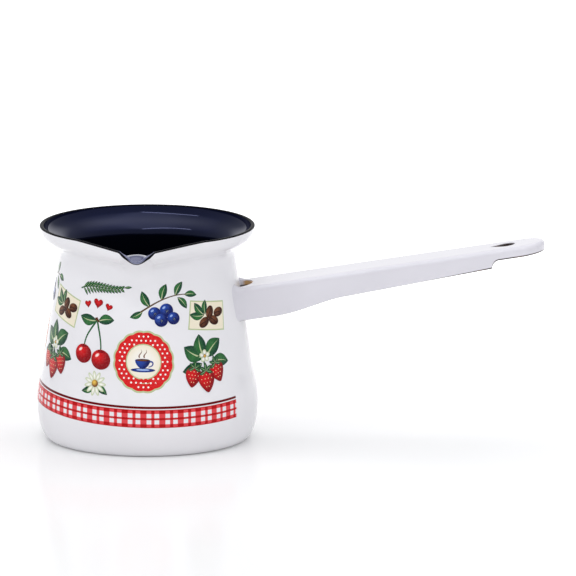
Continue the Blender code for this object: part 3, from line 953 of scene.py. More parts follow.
class Print:
    """One print, drawn flat in millimetres from copies of the blanks."""

    def __init__(self, disc, wide, strip):
        self.blanks = {"disc": disc, "wide": wide, "strip": strip}
        self.mesh = bmesh.new()
        self.ink = self.mesh.verts.layers.float_color.new("Ink")

    def lay(self, blank, place, layer, edge, middle=None, light=(0.0, 0.0)):
        """Copy a blank, move its points by a place function and ink them."""
        before = len(self.mesh.verts)
        self.mesh.from_mesh(self.blanks[blank].data)
        self.mesh.verts.ensure_lookup_table()
        middle = middle or edge
        for vertex in self.mesh.verts[before:]:
            x, y = vertex.co.x, vertex.co.y
            far = abs(y) if blank == "strip" else math.hypot(x - light[0], y - light[1])
            share = min(1.0, far) ** 1.5
            vertex[self.ink] = (*(m + (e - m) * share for m, e in zip(middle, edge)), 1.0)
            vertex.co = (*place(x, y), layer * LAYER)

    def disc(self, x, y, wide, tall, layer, edge, middle=None, lean=0.0, light=(0.0, 0.0)):
        """Oval."""
        at = spot(x, y, lean)
        self.lay("disc", lambda u, v: at(u * wide, v * tall), layer, edge, middle, light)

    def leaf(self, x, y, long, wide, lean, layer, edge=DARK_GREEN, middle=GREEN, curl=0.15):
        """Pointed leaf that starts at x, y and runs out at an angle, with its midrib."""
        at = spot(x, y, lean)

        def place(u, v):
            round_share = max(0.0, 1.0 - u * u)
            return at((u + 1.0) * long / 2,
                      v * math.sqrt(round_share) * wide / 2 + curl * long * (1.0 - u * u) / 2)

        self.lay("disc", place, layer, edge, middle, (0.0, 0.35))
        self.lay("strip", lambda u, v: place(0.86 * u, 0.07 * v * (1.0 - u)), layer + 1, SAGE)

    def leaves(self, layer, *rows):
        """Leaves on one layer, each given by its place, length, width and lean."""
        for row in rows:
            self.leaf(*row, layer)

    def stroke(self, ends, handles, wide, layer, edge, middle=None, taper=0.5):
        """Stroke along a curve, narrower at its end."""
        def place(u, v):
            t = (u + 1.0) / 2
            x, y = bezier(ends, handles, t)
            ahead, behind = bezier(ends, handles, t + 0.01), bezier(ends, handles, t - 0.01)
            dx, dy = ahead[0] - behind[0], ahead[1] - behind[1]
            half = wide / 2 * (1.0 - taper * t) * v / (math.hypot(dx, dy) or 1.0)
            return x - dy * half, y + dx * half

        self.lay("strip", place, layer, edge, middle)

    def berry(self, x, y, size, lean, layer):
        """Strawberry with seeds and a crown of small leaves."""
        at = spot(x, y, lean)

        def place(u, v):
            return at(u * size * (0.92 + 0.34 * v - 0.12 * v * v), v * size * 1.16)

        self.lay("disc", place, layer, DARK_RED, RED, (-0.25, 0.2))
        for row, (height, count) in enumerate(((0.52, 3), (0.18, 4), (-0.16, 3), (-0.5, 2))):
            for k in range(count):
                across = (k - (count - 1) / 2) * 0.40
                self.disc(*place(across, height), 0.13, 0.2, layer + 1 + row % 2, YELLOW, PAPER,
                          lean)
        for k in range(5):
            self.leaf(*place(0.0, 0.86), size * 0.85, size * 0.36, lean - 20 + 55 * k, layer + 3,
                      curl=0.0)

    def flower(self, x, y, size, layer):
        """Five white petals round a yellow eye."""
        for lean in range(90, 450, 72):
            self.disc(*spot(x, y, lean)(0.82 * size, 0.0), 0.80 * size, 0.62 * size, layer,
                      SAGE, PAPER, lean)
        self.disc(x, y, 0.42 * size, 0.42 * size, layer + 1, BROWN, YELLOW)


def badge(p):
    """Scalloped round badge with dots, a plain cup on a saucer and its steam."""
    def scallop(radius):
        def place(u, v):
            swell = 1.0 + 0.035 * abs(math.sin(8.0 * math.atan2(v, u))) * math.hypot(u, v) ** 4
            return radius * u * swell, radius * v * swell
        return place

    p.lay("wide", scallop(11.0), 1, SAGE)
    p.lay("wide", scallop(10.35), 2, RED)
    for row in range(-6, 7):
        for k in range(-7, 8):
            x, y = (k + 0.5 * (row % 2)) * 1.75, row * 1.52
            if 6.9 < math.hypot(x, y) < 9.7:
                p.disc(x, y, 0.34, 0.34, 3, PAPER)
    p.disc(0.0, 0.0, 6.5, 6.5, 3, SAGE)
    p.disc(0.0, 0.0, 6.1, 6.1, 4, CREAM, PAPER)
    p.disc(-0.2, -3.0, 4.4, 0.75, 5, DARK_BLUE, BLUE)
    p.disc(-0.2, -2.85, 2.4, 0.36, 6, PALE_BLUE)
    p.lay("disc", lambda u, v: (-0.3 + u * (2.75 - 0.75 * max(0.0, -v) ** 2),
                                0.55 + (v * 3.15 if v < 0.0 else v * 0.55)),
          7, DARK_BLUE, BLUE, (-0.35, 0.0))
    p.disc(-0.3, 0.6, 2.45, 0.40, 8, DARK_BROWN, BROWN)
    p.stroke(((2.15, 0.1), (1.75, -1.75)), ((4.1, 0.5), (3.7, -1.9)), 0.6, 6, DARK_BLUE, BLUE)
    for x in (-1.4, 0.4):
        p.stroke(((x, 1.5), (x + 0.5, 4.4)), ((x - 1.0, 2.6), (x + 1.6, 3.2)), 0.5, 6, BROWN,
                 taper=0.85)


def strawberries(p):
    """Three strawberries on their leaves, with a small flower."""
    p.leaves(1, (0, 3, 9.5, 6.0, 150), (0, 3, 9.0, 5.6, 100), (1, 3, 9.5, 6.0, 38),
             (-1, 1, 8.6, 4.8, 196), (3, 1, 9.0, 5.0, -8))
    for end, near, far in (((-5.0, -0.5), (-2.0, 5.0), (-5.0, 3.0)),
                           ((5.4, 0.2), (2.0, 5.4), (5.0, 3.6)),
                           ((0.4, -3.0), (-0.6, 1.0), (0.4, -1.0))):
        p.stroke(((0.0, 3.0), end), (near, far), 0.6, 4, DARK_GREEN, GREEN)
    for x, y, size, lean, layer in ((-5.2, -3.6, 3.3, -14, 6), (5.7, -3.0, 3.4, 16, 6),
                                    (0.4, -5.6, 3.7, 2, 8)):
        p.berry(x, y, size, lean, layer)
    p.flower(0.3, 3.6, 1.5, 6)


def blueberries(p):
    """Sprig of blueberries."""
    p.stroke(((-10.5, -3.0), (9.5, 4.0)), ((-4.0, 1.5), (2.0, 4.6)), 0.7, 2, DARK_GREEN, BROWN)
    p.leaves(1, (-6.5, -0.8, 7.5, 3.6, 118), (-1.5, 2.0, 7.2, 3.6, 72), (4.5, 3.6, 6.8, 3.2, 58),
             (8.6, 3.9, 6.0, 2.8, -8), (-9.6, -2.6, 6.0, 2.8, 208), (5.5, 3.0, 6.4, 3.0, -52))
    for k, (x, y, size) in enumerate(((-4.6, -3.4, 2.7), (0.4, -2.2, 2.9), (-1.9, -6.2, 2.8),
                                      (3.3, -5.6, 2.6))):
        p.disc(x, y, size, size, 3 + k, DARK_BLUE, BLUE, light=(-0.35, 0.4))
        p.disc(x - 0.36 * size, y + 0.42 * size, 0.26 * size, 0.15 * size, 4 + k, PALE_BLUE,
               lean=35)
        for tooth in range(5):
            p.leaf(x + 0.25, y - 0.25, 0.36 * size, 0.2 * size, 72 * tooth + 20 * k, 5 + k,
                   DARK_BLUE, DARK_BLUE, 0.0)


def cherries(p):
    """Two cherries on one twig."""
    for end, near, far in (((-3.4, -1.6), (-0.5, 5.2), (-3.2, 2.6)),
                           ((4.0, -2.6), (2.4, 5.2), (4.0, 1.6))):
        p.stroke(((1.5, 8.6), end), (near, far), 0.75, 2, DARK_GREEN, GREEN, 0.3)
    p.stroke(((1.0, 9.3), (2.4, 8.0)), ((1.2, 8.8), (1.8, 8.3)), 1.2, 3, BROWN, DARK_BROWN)
    p.leaves(1, (1.3, 8.2, 8.0, 4.2, 176), (1.9, 8.0, 7.0, 3.8, 10))
    for x, y, size, layer in ((-3.5, -4.7, 3.7, 3), (4.2, -5.8, 3.9, 4)):
        p.disc(x, y, size, 0.95 * size, layer, DARK_RED, RED, light=(-0.3, 0.35))
        p.disc(x - 0.38 * size, y + 0.38 * size, 0.27 * size, 0.15 * size, layer + 1, PALE_RED,
               PAPER, 40)
        p.disc(x, y + 0.78 * size, 0.42 * size, 0.13 * size, layer + 1, DARK_RED)


def bean_card(p):
    """Tilted cream card with roasted beans and two leaves."""
    at_card = spot(0.0, 0.0, -9.0)

    def plate(wide, tall):
        def place(u, v):
            far = math.hypot(u, v)
            square = far / (max(abs(u), abs(v)) or 1.0) * (0.93 if far > 0.9 else 1.0)
            return at_card(u * square * wide, v * square * tall)
        return place

    p.lay("wide", plate(10.6, 6.9), 1, SAGE)
    p.lay("wide", plate(10.0, 6.3), 2, CREAM)
    p.leaves(3, (-2.0, 0.6, 7.6, 3.6, 128), (-2.0, 0.6, 7.6, 3.6, 172), (-1.4, 0.8, 6.4, 3.0, 84))
    for x, y, lean in ((-2.4, -2.6, 32), (3.0, -2.4, -28), (1.2, 1.4, 68), (6.3, 0.6, 12)):
        p.disc(x, y, 2.9, 2.0, 4, DARK_BROWN, BROWN, lean, (-0.2, 0.35))
        at = spot(x, y, lean)
        p.stroke((at(-2.6, 0.0), at(2.6, 0.0)), (at(-1.0, 1.1), at(1.0, -1.1)), 0.5, 5,
                 DARK_BROWN, taper=0.0)


def herb_sprig(p):
    """Long sprig of narrow leaves."""
    ends, handles = ((-12.5, -2.2), (12.5, 1.6)), ((-4.0, 2.4), (4.0, -1.6))
    p.stroke(ends, handles, 0.7, 2, DARK_GREEN, GREEN, 0.6)
    for k in range(13):
        x, y = bezier(ends, handles, 0.06 + 0.07 * k)
        for side in (-1, 1):
            p.leaf(x, y, 4.6 - 0.16 * k, 1.25, side * (48 - k), 3 + k % 2, curl=-0.08 * side)
    p.leaf(11.9, 1.5, 4.0, 1.3, 8, 3, curl=0.0)


def hearts(p):
    """Three small hearts in a row."""
    def heart(at, size):
        def place(u, v):
            t, far = math.atan2(u, v), math.hypot(u, v)
            tall = (13 * math.cos(t) - 5 * math.cos(2 * t) - 2 * math.cos(3 * t)
                    - math.cos(4 * t)) / 16
            return at(far * size * math.sin(t) ** 3, far * size * tall)
        return place

    for x, y, size, lean in ((-5.2, -0.6, 1.7, 14), (0.0, 0.5, 2.3, -4), (5.2, -0.5, 1.7, -16)):
        p.lay("disc", heart(spot(x, y, lean), size), 2, DARK_RED, RED, (0.0, 0.2))


def daisy(p):
    """Small daisy with two leaves."""
    p.leaves(1, (0.0, -1.0, 6.0, 2.6, 205), (0.0, -1.0, 6.0, 2.6, -25))
    for k in range(11):
        lean = 360 / 11 * k
        p.disc(*spot(0.0, 0.0, lean)(2.7, 0.0), 1.9, 0.72, 3, SAGE, PAPER, lean)
    p.disc(0.0, 0.0, 1.35, 1.35, 4, BROWN, YELLOW, light=(-0.2, 0.3))


# Where each print of a set sits: millimetres across from the set's middle, height and scale
PRINTS = ((herb_sprig, -25.0, 77.5, 0.95), (cherries, -30.5, 52.0, 1.25),
          (badge, -5.0, 45.5, 1.28), (blueberries, 5.5, 71.5, 1.1),
          (strawberries, 25.0, 42.0, 1.25), (bean_card, 27.5, 64.5, 1.05),
          (daisy, -29.0, 33.5, 1.25), (hearts, -27.0, 69.8, 1.1))


def wrap(thing, wall, middle, across, height, scale):
    """Wrap a flat print round the body and give it a little thickness."""
    p = bpy.context.scene.pot_print
    radius = wall.radius(height * MM)
    for vertex in thing.data.vertices:
        x, y, lift = scale * vertex.co.x, scale * vertex.co.y, vertex.co.z
        angle = middle + (across + x) * MM / radius
        climb = p.rise * (1.0 - max(0.0, math.cos(angle))) - p.tilt * math.sin(angle)
        z = round(climb / MM + height + y, 2) * MM
        out = wall.radius(z) + lift * MM
        vertex.co = (out * math.sin(angle), -out * math.cos(angle), z)
    first = thing.data.polygons[0]
    if first.normal.dot(Vector((first.center.x, first.center.y, 0.0))) < 0.0:
        flip(thing)
    modify(thing, "SOLIDIFY", thickness=INK_DEPTH * MM, offset=-1.0)


# Pieces

# How finely each curve is stepped
BEAD_STEPS, BEND_STEPS, SECTION_ROWS, FILLET_STEPS, WELD_STEPS, WELD_ROWS = 12, 8, 12, 9, 5, 36
TIP_FACETS, CUTTER_FACETS, CORE_ROWS, MEETING_ROUNDS = 72, 64, 24, 12

# The core that cuts the root: how deep under the handle and how near the axis it starts
CORE_BELOW, CORE_START = 1.8, 0.1

# Handle: where its bare edge starts before the step, how far the ground coat hangs below the
# white one, and how round the edges of both are
BARE_AHEAD, GROUND_HANG = 1.2 * MM, 0.15 * MM
WHITE_ROUND, GROUND_ROUND, ROUNDED_FROM = 0.14 * MM, 0.4 * MM, math.radians(50.0)

# Fillets: how deep they are set in, how far from the notch they end, and their share at the ends
FILLET_SINK, NOTCH_CLEAR, FILLET_ENDS = 0.15 * MM, 0.2 * MM, 0.35
SLOPE_STEP = 0.1 * MM

# Weld beads: their size and ripple, and how their corner sits in the body's corner
WELD_SIZE, WELD_RIPPLE, WELD_WAVE = 1.35 * MM, 0.10, 2.3
WELD_IN, WELD_OUT, WELD_HEEL = 0.25 * MM, 0.1 * MM, (0.4 * MM, 0.2 * MM)


class POT_OT_white_coat(bpy.types.Operator):
    """Model the white coat of the body and the ground coat in its window"""
    bl_idname = "pot.white_coat"
    bl_label = "White Coat"

    def execute(self, context):
        b, h = sizes()
        form = Handle()
        sheet = wall_sheet("white_coat")
        low = form.top(form.root) - h.root_wall
        high = form.top(form.root) - h.thickness / 2
        side = h.root_half_width - h.thickness / 2
        choose(sheet, "FACE", lambda c, n: c.x > 0.0 and abs(c.y) < side and low < c.z < high)
        bpy.ops.mesh.separate(type="SELECTED")
        patch = next(o for o in context.selected_objects if o != sheet)
        patch.name = patch.data.name = "root_ground_coat"
        for thing in (sheet, patch):
            thicken(thing, 0.0, b.white_coat)
        on_body(sheet, white_enamel(), "outer_enamel", "outer_enamel")
        on_body(patch, ground_coat("Root_ground_coat", False), "ground_coat", "root_lining")
        return {"FINISHED"}


class POT_OT_dark_coat(bpy.types.Operator):
    """Model the dark coat inside the pot"""
    bl_idname = "pot.dark_coat"
    bl_label = "Dark Coat"

    def execute(self, context):
        b, _ = sizes()
        sheet = wall_sheet("dark_coat")
        thicken(sheet, b.dark_depth, b.dark_depth + b.dark_coat)
        on_body(sheet, dark_enamel(), "inner_enamel", "inner_enamel")
        return {"FINISHED"}


def bead_ring(wall, angle):
    """Arch of the bead over the wall's edge at an angle, from outside to inside."""
    b = wall.sizes
    turns = [math.pi * j / BEAD_STEPS for j in range(BEAD_STEPS + 1)]
    return [wall.point(angle, wall.below_rim(angle, b.bead * (1.0 - math.sin(t))),
                       (b.dark_depth + b.dark_coat) * (1.0 - math.cos(t)) / 2) for t in turns]


class POT_OT_rim_bead(bpy.types.Operator):
    """Model the dark bead that closes the wall at the rim"""
    bl_idname = "pot.rim_bead"
    bl_label = "Rim Bead"

    def execute(self, context):
        columns = sizes()[0].columns
        wall = Wall()
        rings = [bead_ring(wall, crowded(2 * math.pi * k / columns)) for k in range(columns)]
        bead = swept("rim_bead", rings, True)
        place_of = {tuple(round(c / TINY) for c in point): j / BEAD_STEPS
                    for ring in rings for j, point in enumerate(ring)}
        mark(bead, "Inner", [place_of.get(tuple(round(c / TINY) for c in v.co), 0.5)
                             for v in bead.data.vertices])
        smooth(bead, 60.0)
        on_body(bead, rim_enamel(), "rim_enamel", "rim_enamel")
        return {"FINISHED"}


def handle_sheet(name, form):
    """Outside of the handle as a sheet, lying flat: plan, side walls, then the bend."""
    s = form.sizes
    rest()
    bpy.ops.mesh.primitive_circle_add(vertices=TIP_FACETS, radius=s.tip_radius,
                                      fill_type="NOTHING", location=(form.centre, 0.0, 0.0))
    thing = settle(name)
    choose(thing, "VERT", lambda co: co.x < form.centre - TINY)
    bpy.ops.mesh.delete(type="VERT")
    choose(thing, "VERT", lambda co: co.x < form.centre + TINY)
    x, wide = form.centre, s.tip_radius
    for station in form.stations():
        extrude(x=station - x)
        scale = form.half_width(station) / wide
        bpy.ops.transform.resize(value=(1.0, scale, 1.0), center_override=(station, 0.0, 0.0))
        x, wide = station, form.half_width(station)
    bpy.ops.mesh.edge_face_add()
    bpy.ops.mesh.select_all(action="SELECT")
    bpy.ops.mesh.edge_face_add()
    bpy.ops.object.mode_set(mode="OBJECT")
    if thing.data.polygons[0].normal.z < 0.0:
        flip(thing)
    end = x + TINY
    choose(thing, "EDGE", lambda a, b: max(a.x, b.x) > end)
    extrude(z=-s.tip_wall)
    bpy.ops.object.mode_set(mode="OBJECT")
    for vertex in thing.data.vertices:
        if vertex.co.z < -TINY:
            vertex.co.z = -form.wall(vertex.co.x)
    choose(thing, "EDGE", lambda a, b: min(a.z, b.z) > -TINY and max(a.x, b.x) > end)
    bpy.ops.mesh.bevel(offset=s.bend, segments=BEND_STEPS, profile=0.5, affect="EDGES",
                       clamp_overlap=False)
    outward()
    widest = max(thing.data.polygons, key=lambda face: face.area)
    if widest.normal.z < 0.0:
        flip(thing)
    return thing


def slope(thing, form):
    """Lift a handle sheet to its place and slope."""
    for vertex in thing.data.vertices:
        vertex.co.z += form.top(vertex.co.x)


def hole_cutter(form, inset):
    """Drop-shaped cutter of the hanging hole: a circle with its inner side drawn to a point."""
    s = form.sizes
    rest()
    centre = form.tip - s.hole_to_tip
    radius, point = s.hole_radius - inset, s.hole_point - 2 * inset
    bpy.ops.mesh.primitive_circle_add(vertices=CUTTER_FACETS, radius=radius, fill_type="NGON",
                                      location=(centre, 0.0, form.top(centre) - 2 * s.hole_radius))
    thing = settle("hole_cutter")
    lean = math.acos(radius / point)
    for vertex in thing.data.vertices:
        angle = math.atan2(abs(vertex.co.y), centre - vertex.co.x)
        if angle < lean:
            share = 1.0 - angle / lean
            x, y = centre - radius * math.cos(lean), radius * math.sin(lean)
            vertex.co.x = x + (centre - point - x) * share
            vertex.co.y = math.copysign(y * (1.0 - share), vertex.co.y)
    return raised(thing, 4 * s.hole_radius)


def notch_cutter(form, inset):
    """Oval cutter of the drain notch."""
    s = form.sizes
    rest()
    bpy.ops.mesh.primitive_circle_add(vertices=CUTTER_FACETS, radius=1.0, fill_type="NGON",
                                      location=(form.root, 0.0, form.height - 2 * s.thickness))
    bpy.ops.transform.resize(value=(s.notch_length - inset, s.notch_half_width - inset, 1.0))
    return raised(settle("notch_cutter"), 4 * s.thickness)


def raised(thing, height):
    """Extrude a flat cutter up into a closed prism."""
    choose(thing, "FACE", lambda centre, normal: True)
    extrude(z=height)
    outward()
    return thing


def core_cutter(form):
    """Solid core of the cone, up to the steel, that cuts the handle's root."""
    b, h = sizes()
    low, high = form.height - CORE_BELOW * h.root_wall, form.height + h.drop / 2
    heights = [low + (high - low) * k / CORE_ROWS for k in range(CORE_ROWS + 1)]
    middle = CORE_START * form.root
    stations = [(middle, low)] + [(form.body.radius(z) - b.white_coat, z) for z in heights]
    return turned("core_cutter", stations + [(middle, high)], b.columns, True)


class POT_OT_handle(bpy.types.Operator):
    """Model the handle's white coat and the ground coat under it"""
    bl_idname = "pot.handle"
    bl_label = "Handle"

    def execute(self, context):
        form = Handle()
        s = form.sizes
        white = handle_sheet("handle_white_coat", form)
        ground = copy_of(white, "handle_ground_coat")
        bare = form.step - BARE_AHEAD
        for vertex in white.data.vertices:
            if vertex.co.z < -s.bend - TINY and vertex.co.x > bare:
                vertex.co.z += s.bare_edge
        for vertex in ground.data.vertices:
            if vertex.co.z < -s.bend - TINY:
                vertex.co.z -= GROUND_HANG
        slope(white, form)
        slope(ground, form)
        choose(ground, "FACE", lambda centre, normal: True)
        bpy.ops.transform.shrink_fatten(value=-s.coat, use_even_offset=True)
        modify(white, "SOLIDIFY", thickness=s.coat, offset=-1.0, use_even_offset=True)
        modify(ground, "SOLIDIFY", thickness=s.thickness - s.coat, offset=-1.0,
               use_even_offset=True)
        for thing, inset in ((white, 0.0), (ground, s.wrap)):
            cutters = (core_cutter(form), hole_cutter(form, inset), notch_cutter(form, inset))
            for cutter in cutters:
                modify(thing, "BOOLEAN", operation="DIFFERENCE", solver="EXACT", object=cutter)
            discard(*cutters)
        for thing, width, segments in ((white, WHITE_ROUND, 2), (ground, GROUND_ROUND, 3)):
            modify(thing, "BEVEL", width=width, segments=segments, limit_method="ANGLE",
                   angle_limit=ROUNDED_FROM)
            smooth(thing, 40.0)
            modify(thing, "WEIGHTED_NORMAL", keep_sharp=True, weight=80)
        on_body(white, handle_enamel(), "handle_enamel", "handle_enamel")
        on_body(ground, ground_coat("Handle_ground_coat", True), "ground_coat", "handle_lining")
        return {"FINISHED"}


def body_normal(wall, point):
    """Outward direction of the body's wall at a point on it."""
    above, below = wall.radius(point.z + SLOPE_STEP), wall.radius(point.z - SLOPE_STEP)
    lean = (above - below) / (2 * SLOPE_STEP)
    out = Vector((point.x, point.y, 0.0)).normalized()
    return (out - lean * Vector((0.0, 0.0, 1.0))).normalized()


def root_section(form):
    """Half of the handle's section, from its lower edge up to the notch: y, drop and direction."""
    s = form.sizes
    wide = s.root_half_width
    section = [(wide, s.root_wall - (s.root_wall - 2 * s.bend) * k / SECTION_ROWS, (1.0, 0.0))
               for k in range(SECTION_ROWS + 1)]
    for k in range(1, BEND_STEPS + 1):
        t = math.pi / 2 * k / BEND_STEPS
        section.append((wide - s.bend * (1.0 - math.cos(t)), s.bend * (1.0 - math.sin(t)),
                        (math.cos(t), math.sin(t))))
    last = s.notch_half_width + NOTCH_CLEAR
    for k in range(1, 4):
        section.append((wide - s.bend + (last - wide + s.bend) * k / 3, 0.0, (0.0, 1.0)))
    return section


def fillet_ring(form, place, side, fade, along):
    """Ring of the pooled enamel round one place of the handle's section."""
    s = form.sizes
    y, drop, (east, north) = place
    x = form.root
    for _ in range(MEETING_ROUNDS):
        z = form.top(x) - drop
        x = math.sqrt(form.body.radius(z) ** 2 - y ** 2)
    corner = Vector((x, side * y, z))
    out = Vector((0.0, side * east, north))
    wall = body_normal(form.body, corner)
    away = (out - out.dot(wall) * wall).normalized()
    reach = s.fillet_along * fade * along
    ring = []
    for j in range(FILLET_STEPS + 1):
        t = math.pi / 2 * j / FILLET_STEPS
        on_wall = s.fillet_up * fade * (1.0 - math.cos(t))
        sunk = on_wall ** 2 / (2 * form.root) * wall
        ring.append(corner + (1.0 - math.sin(t)) * reach + on_wall * away - sunk)
    return [*ring, corner - FILLET_SINK * (wall + out)]


class POT_OT_root_fillets(bpy.types.Operator):
    """Model the white enamel that pools where the handle meets the body"""
    bl_idname = "pot.root_fillets"
    bl_label = "Root Fillets"

    def execute(self, context):
        form = Handle()
        s = form.sizes
        section = root_section(form)
        narrows = (s.tip_radius - s.root_half_width) / (form.centre - form.root)
        for name, side in (("front_fillet", -1.0), ("back_fillet", 1.0)):
            along = Vector((1.0, side * narrows, math.tan(s.rise))).normalized()
            rings = []
            for k, place in enumerate(section):
                inward = min(1.0, k / 3, (len(section) - 1 - k) / 3)
                fade = FILLET_ENDS + (1.0 - FILLET_ENDS) * inward
                rings.append(fillet_ring(form, place, side, fade, along))
            bead = swept(name, rings)
            smooth(bead, 50.0)
            on_body(bead, bpy.data.materials["Handle_enamel"], "handle_enamel")
        return {"FINISHED"}


def weld_ring(form, side, y, z, size):
    """Quarter ring of a weld bead in the corner at y and z, with its heel in the corner."""
    x = math.sqrt(form.body.radius(z) ** 2 - y ** 2)
    ring = [Vector((x - WELD_IN + size * math.cos(t), side * (y + WELD_OUT - size * math.sin(t)),
                    z)) for t in (math.pi / 2 * j / WELD_STEPS for j in range(WELD_STEPS + 1))]
    return [*ring, Vector((x - WELD_HEEL[0], side * (y + WELD_HEEL[1]), z))]


class POT_OT_weld_beads(bpy.types.Operator):
    """Model the rippled weld beads inside the handle's root"""
    bl_idname = "pot.weld_beads"
    bl_label = "Weld Beads"

    def execute(self, context):
        form = Handle()
        metal = weld_metal()
        for name, node, side in (("front_weld_bead", "front_weld", -1.0),
                                 ("back_weld_bead", "back_weld", 1.0)):
            low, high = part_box(node)
            y = max(abs(low.y), abs(high.y))
            rings = []
            for k in range(WELD_ROWS + 1):
                z = low.z + (high.z - low.z) * k / WELD_ROWS
                size = WELD_SIZE * (1.0 + WELD_RIPPLE * math.sin(WELD_WAVE * k))
                size *= 0.5 + 0.5 * min(1.0, k / 2, (WELD_ROWS - k) / 2)
                rings.append(weld_ring(form, side, y, z, size))
            bead = swept(name, rings)
            smooth(bead, 60.0)
            on_body(bead, metal, "weld", node)
        return {"FINISHED"}


class POT_OT_steel(bpy.types.Operator):
    """Model the body's steel shell and give both steels their finish"""
    bl_idname = "pot.steel"
    bl_label = "Steel"

    def execute(self, context):
        b, _ = sizes()
        tint = context.scene.pot_finish.steel
        shell = wall_sheet("steel_shell")
        thicken(shell, b.steel_depth, b.steel_depth + b.steel)
        on_body(shell, drawn_steel("Body_steel", tint, 0.35), "body_steel", "body_steel")
        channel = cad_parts["handle_steel"]
        finish = drawn_steel("Handle_steel", tint, 0.42)
        for slot in channel.material_slots:
            slot.material = finish
        return {"FINISHED"}


class POT_OT_prints(bpy.types.Operator):
    """Model the small prints once and copy them round the body"""
    bl_idname = "pot.prints"
    bl_label = "Prints"

    def execute(self, context):
        ink = printed_ink()
        blanks = round_blank(DISC_SPOKES), round_blank(WIDE_SPOKES), strip_blank()
        opening = context.scene.pot_print.open_turn
        set_turn = (2 * math.pi - 2 * opening) / SETS
        wall = Wall()
        for draw, across, height, scale in PRINTS:
            name = draw.__name__
            drawing = Print(*blanks)
            draw(drawing)
            mesh = bpy.data.meshes.new(name)
            drawing.mesh.to_mesh(mesh)
            drawing.mesh.free()
            flat = bpy.data.objects.new(name, mesh)
            context.scene.collection.objects.link(flat)
            for k in range(SETS):
                thing = copy_of(flat, f"{name}_{k + 1}")
                middle = math.pi / 2 - opening - set_turn * (k + 0.5)
                wrap(thing, wall, middle, across, height, scale)
                smooth(thing, 60.0)
                on_body(thing, ink, "outer_enamel")
            discard(flat)
        discard(*blanks)
        return {"FINISHED"}


# Stage

STAGE_SIZE, FLOOR_DROP = 12.0, 0.02 * MM
FLOOR_ROUGHNESS, FLOOR_MIRROR = 0.16, 0.04
CLOUD_SCALE, CLOUD_SHARE = 3.0, 0.02
GLOW_START, FAR_GLOW, NEAR_GLOW = (-0.02, 0.25), 0.5, 0.08
DAYLIGHT, DAY_STRENGTH = (0.96, 0.97, 1.0), 0.7
ROOM_SHADE = (0.28, 0.29, 0.32)
BEHIND, OVERHEAD, TO_THE_SIDES = (0.70, 0.97), (0.65, 0.90), (0.15, 0.50)
OVERHEAD_WHITE, SIDE_LOSS = 0.95, -0.6
SENSOR, CAMERA_END = 36.0, 100.0
LAMP_AIM = Vector((0.03, 0.0, 0.05))
# Name, place, width, height, power in watts, and whether the enamel mirrors the lamp
LAMPS = (("left_lamp", (-1.1, -0.9, 0.7), 0.9, 0.9, 3.6, False),
         ("right_lamp", (1.2, -0.7, 0.8), 0.9, 0.9, 3.2, False),
         ("top_lamp", (0.1, 0.3, 1.3), 1.0, 1.0, 5.5, False),
         ("low_lamp", (0.1, -1.4, 0.15), 1.2, 0.25, 1.5, False),
         ("strip_lamp", (-0.3, -0.5, 1.1), 1.2, 0.1, 1.5, True))


def floor_finish(tint):
    """Floor with a weak mirror that glows softly where it is seen behind the pot."""
    made, net, shader, place = material("Floor")
    cloud = net.product(net.noise(place, CLOUD_SCALE, 2.0), CLOUD_SHARE)
    net.feed(shader, {"Base Color": net.mix(cloud, tint, PLAIN_WHITE),
                      "Roughness": FLOOR_ROUGHNESS, "Specular IOR Level": FLOOR_MIRROR})
    far = net.ramp(net.axes(place)[1], *GLOW_START)
    strength = net.product(net.seen(), net.math("MULTIPLY_ADD", far, FAR_GLOW, NEAR_GLOW))
    glow = net.node("ShaderNodeEmission", {"Color": PLAIN_WHITE, "Strength": strength})
    both = net.node("ShaderNodeAddShader", {0: shader.outputs[0], 1: glow.outputs[0]})
    net.feed(made.node_tree.nodes["Material Output"], {"Surface": both.outputs[0]})
    return made


def set_world(scene):
    """Even light all round, and a room with a white backdrop that is only seen and mirrored."""
    world = scene.world or bpy.data.worlds.new("World")
    scene.world = world
    world.use_nodes = True
    world.node_tree.nodes.clear()
    net = Net(world.node_tree)
    plain = net.node("ShaderNodeBackground", {"Color": DAYLIGHT, "Strength": DAY_STRENGTH})
    x, y, z = net.axes(net.node("ShaderNodeTexCoord").outputs["Generated"])
    aside = net.ramp(net.math("ABSOLUTE", x), *TO_THE_SIDES)
    over = net.product(net.ramp(z, *OVERHEAD),
                       net.math("MULTIPLY_ADD", aside, SIDE_LOSS, OVERHEAD_WHITE))
    bright = net.math("MAXIMUM", net.ramp(y, *BEHIND), over)
    room = net.node("ShaderNodeBackground", {"Color": net.mix(bright, ROOM_SHADE, PLAIN_WHITE),
                                             "Strength": 1.0})
    mixed = net.node("ShaderNodeMixShader", {0: net.seen(), 1: plain.outputs[0],
                                             2: room.outputs[0]})
    net.node("ShaderNodeOutputWorld", {"Surface": mixed.outputs[0]})


def add_lamp(name, place, wide, tall, power, mirrored):
    """Soft rectangular lamp that points at the pot."""
    rest()
    bpy.ops.object.light_add(type="AREA", location=place)
    lamp = bpy.context.object
    lamp.name = lamp.data.name = name
    lamp.data.shape = "RECTANGLE"
    lamp.data.size, lamp.data.size_y = wide, tall
    lamp.data.energy = power
    lamp.visible_glossy = mirrored
    aim = LAMP_AIM - Vector(place)
    lamp.rotation_euler = aim.to_track_quat("-Z", "Y").to_euler()


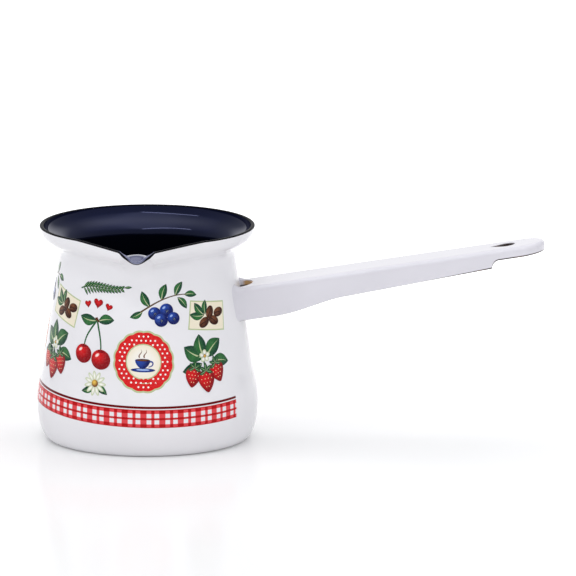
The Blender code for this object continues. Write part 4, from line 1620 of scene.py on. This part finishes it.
def add_camera(scene):
    """Camera at the photograph's angle."""
    b, _ = sizes()
    s = scene.pot_stage
    a, e = s.azimuth, s.elevation
    back = Vector((math.sin(a) * math.cos(e), -math.cos(a) * math.cos(e), math.sin(e)))
    right = Vector((math.cos(a), math.sin(a), 0.0))
    up = back.cross(right)
    rim_ahead = b.height * math.sin(e)
    place = right * s.right + up * s.up + back * (s.distance + rim_ahead)
    rest()
    bpy.ops.object.camera_add(location=place)
    camera = bpy.context.object
    camera.name = camera.data.name = "camera"
    camera.rotation_euler = Matrix((right, up, back)).transposed().to_euler()
    camera.data.sensor_width = SENSOR
    camera.data.lens = s.focal
    camera.data.clip_end = CAMERA_END
    scene.camera = camera


class POT_OT_stage(bpy.types.Operator):
    """Set up the floor, the lights and the camera"""
    bl_idname = "pot.stage"
    bl_label = "Stage"

    def execute(self, context):
        scene = context.scene
        rest()
        bpy.ops.mesh.primitive_plane_add(size=STAGE_SIZE, location=(0.0, 0.0, -FLOOR_DROP))
        floor = settle("floor")
        floor.data.materials.append(floor_finish(scene.pot_stage.floor))
        set_world(scene)
        for lamp in LAMPS:
            add_lamp(*lamp)
        add_camera(scene)
        scene.view_settings.view_transform = "Standard"
        return {"FINISHED"}


class POT_PT_panel(bpy.types.Panel):
    """Buttons that build the pot piece by piece"""
    bl_idname = "POT_PT_panel"
    bl_label = "Coffee Pot"
    bl_space_type = "VIEW_3D"
    bl_region_type = "UI"
    bl_category = "Coffee Pot"

    def draw(self, context):
        for step in STEPS:
            self.layout.operator(step.bl_idname)
        for group in GROUPS:
            box = self.layout.box()
            values = getattr(context.scene, group)
            for name in values.__annotations__:
                box.prop(values, name)


GROUPS = {"pot_body": PotBodySizes, "pot_handle": PotHandleSizes, "pot_print": PotPrintSizes,
          "pot_finish": PotFinishes, "pot_stage": PotStage}
STEPS = (POT_OT_white_coat, POT_OT_dark_coat, POT_OT_rim_bead, POT_OT_handle,
         POT_OT_root_fillets, POT_OT_weld_beads, POT_OT_steel, POT_OT_prints, POT_OT_stage)


def register():
    """Register the classes and hang the settings on the scene."""
    for name, group in GROUPS.items():
        bpy.utils.register_class(group)
        setattr(bpy.types.Scene, name, PointerProperty(type=group))
    for step in (*STEPS, POT_PT_panel):
        bpy.utils.register_class(step)


def unregister():
    """Take everything off again."""
    for step in reversed((*STEPS, POT_PT_panel)):
        bpy.utils.unregister_class(step)
    for name, group in GROUPS.items():
        delattr(bpy.types.Scene, name)
        bpy.utils.unregister_class(group)


def main():
    """Build every piece in order."""
    register()
    for step in STEPS:
        group, name = step.bl_idname.split(".")
        getattr(getattr(bpy.ops, group), name)()


if __name__ == "__main__":
    main()
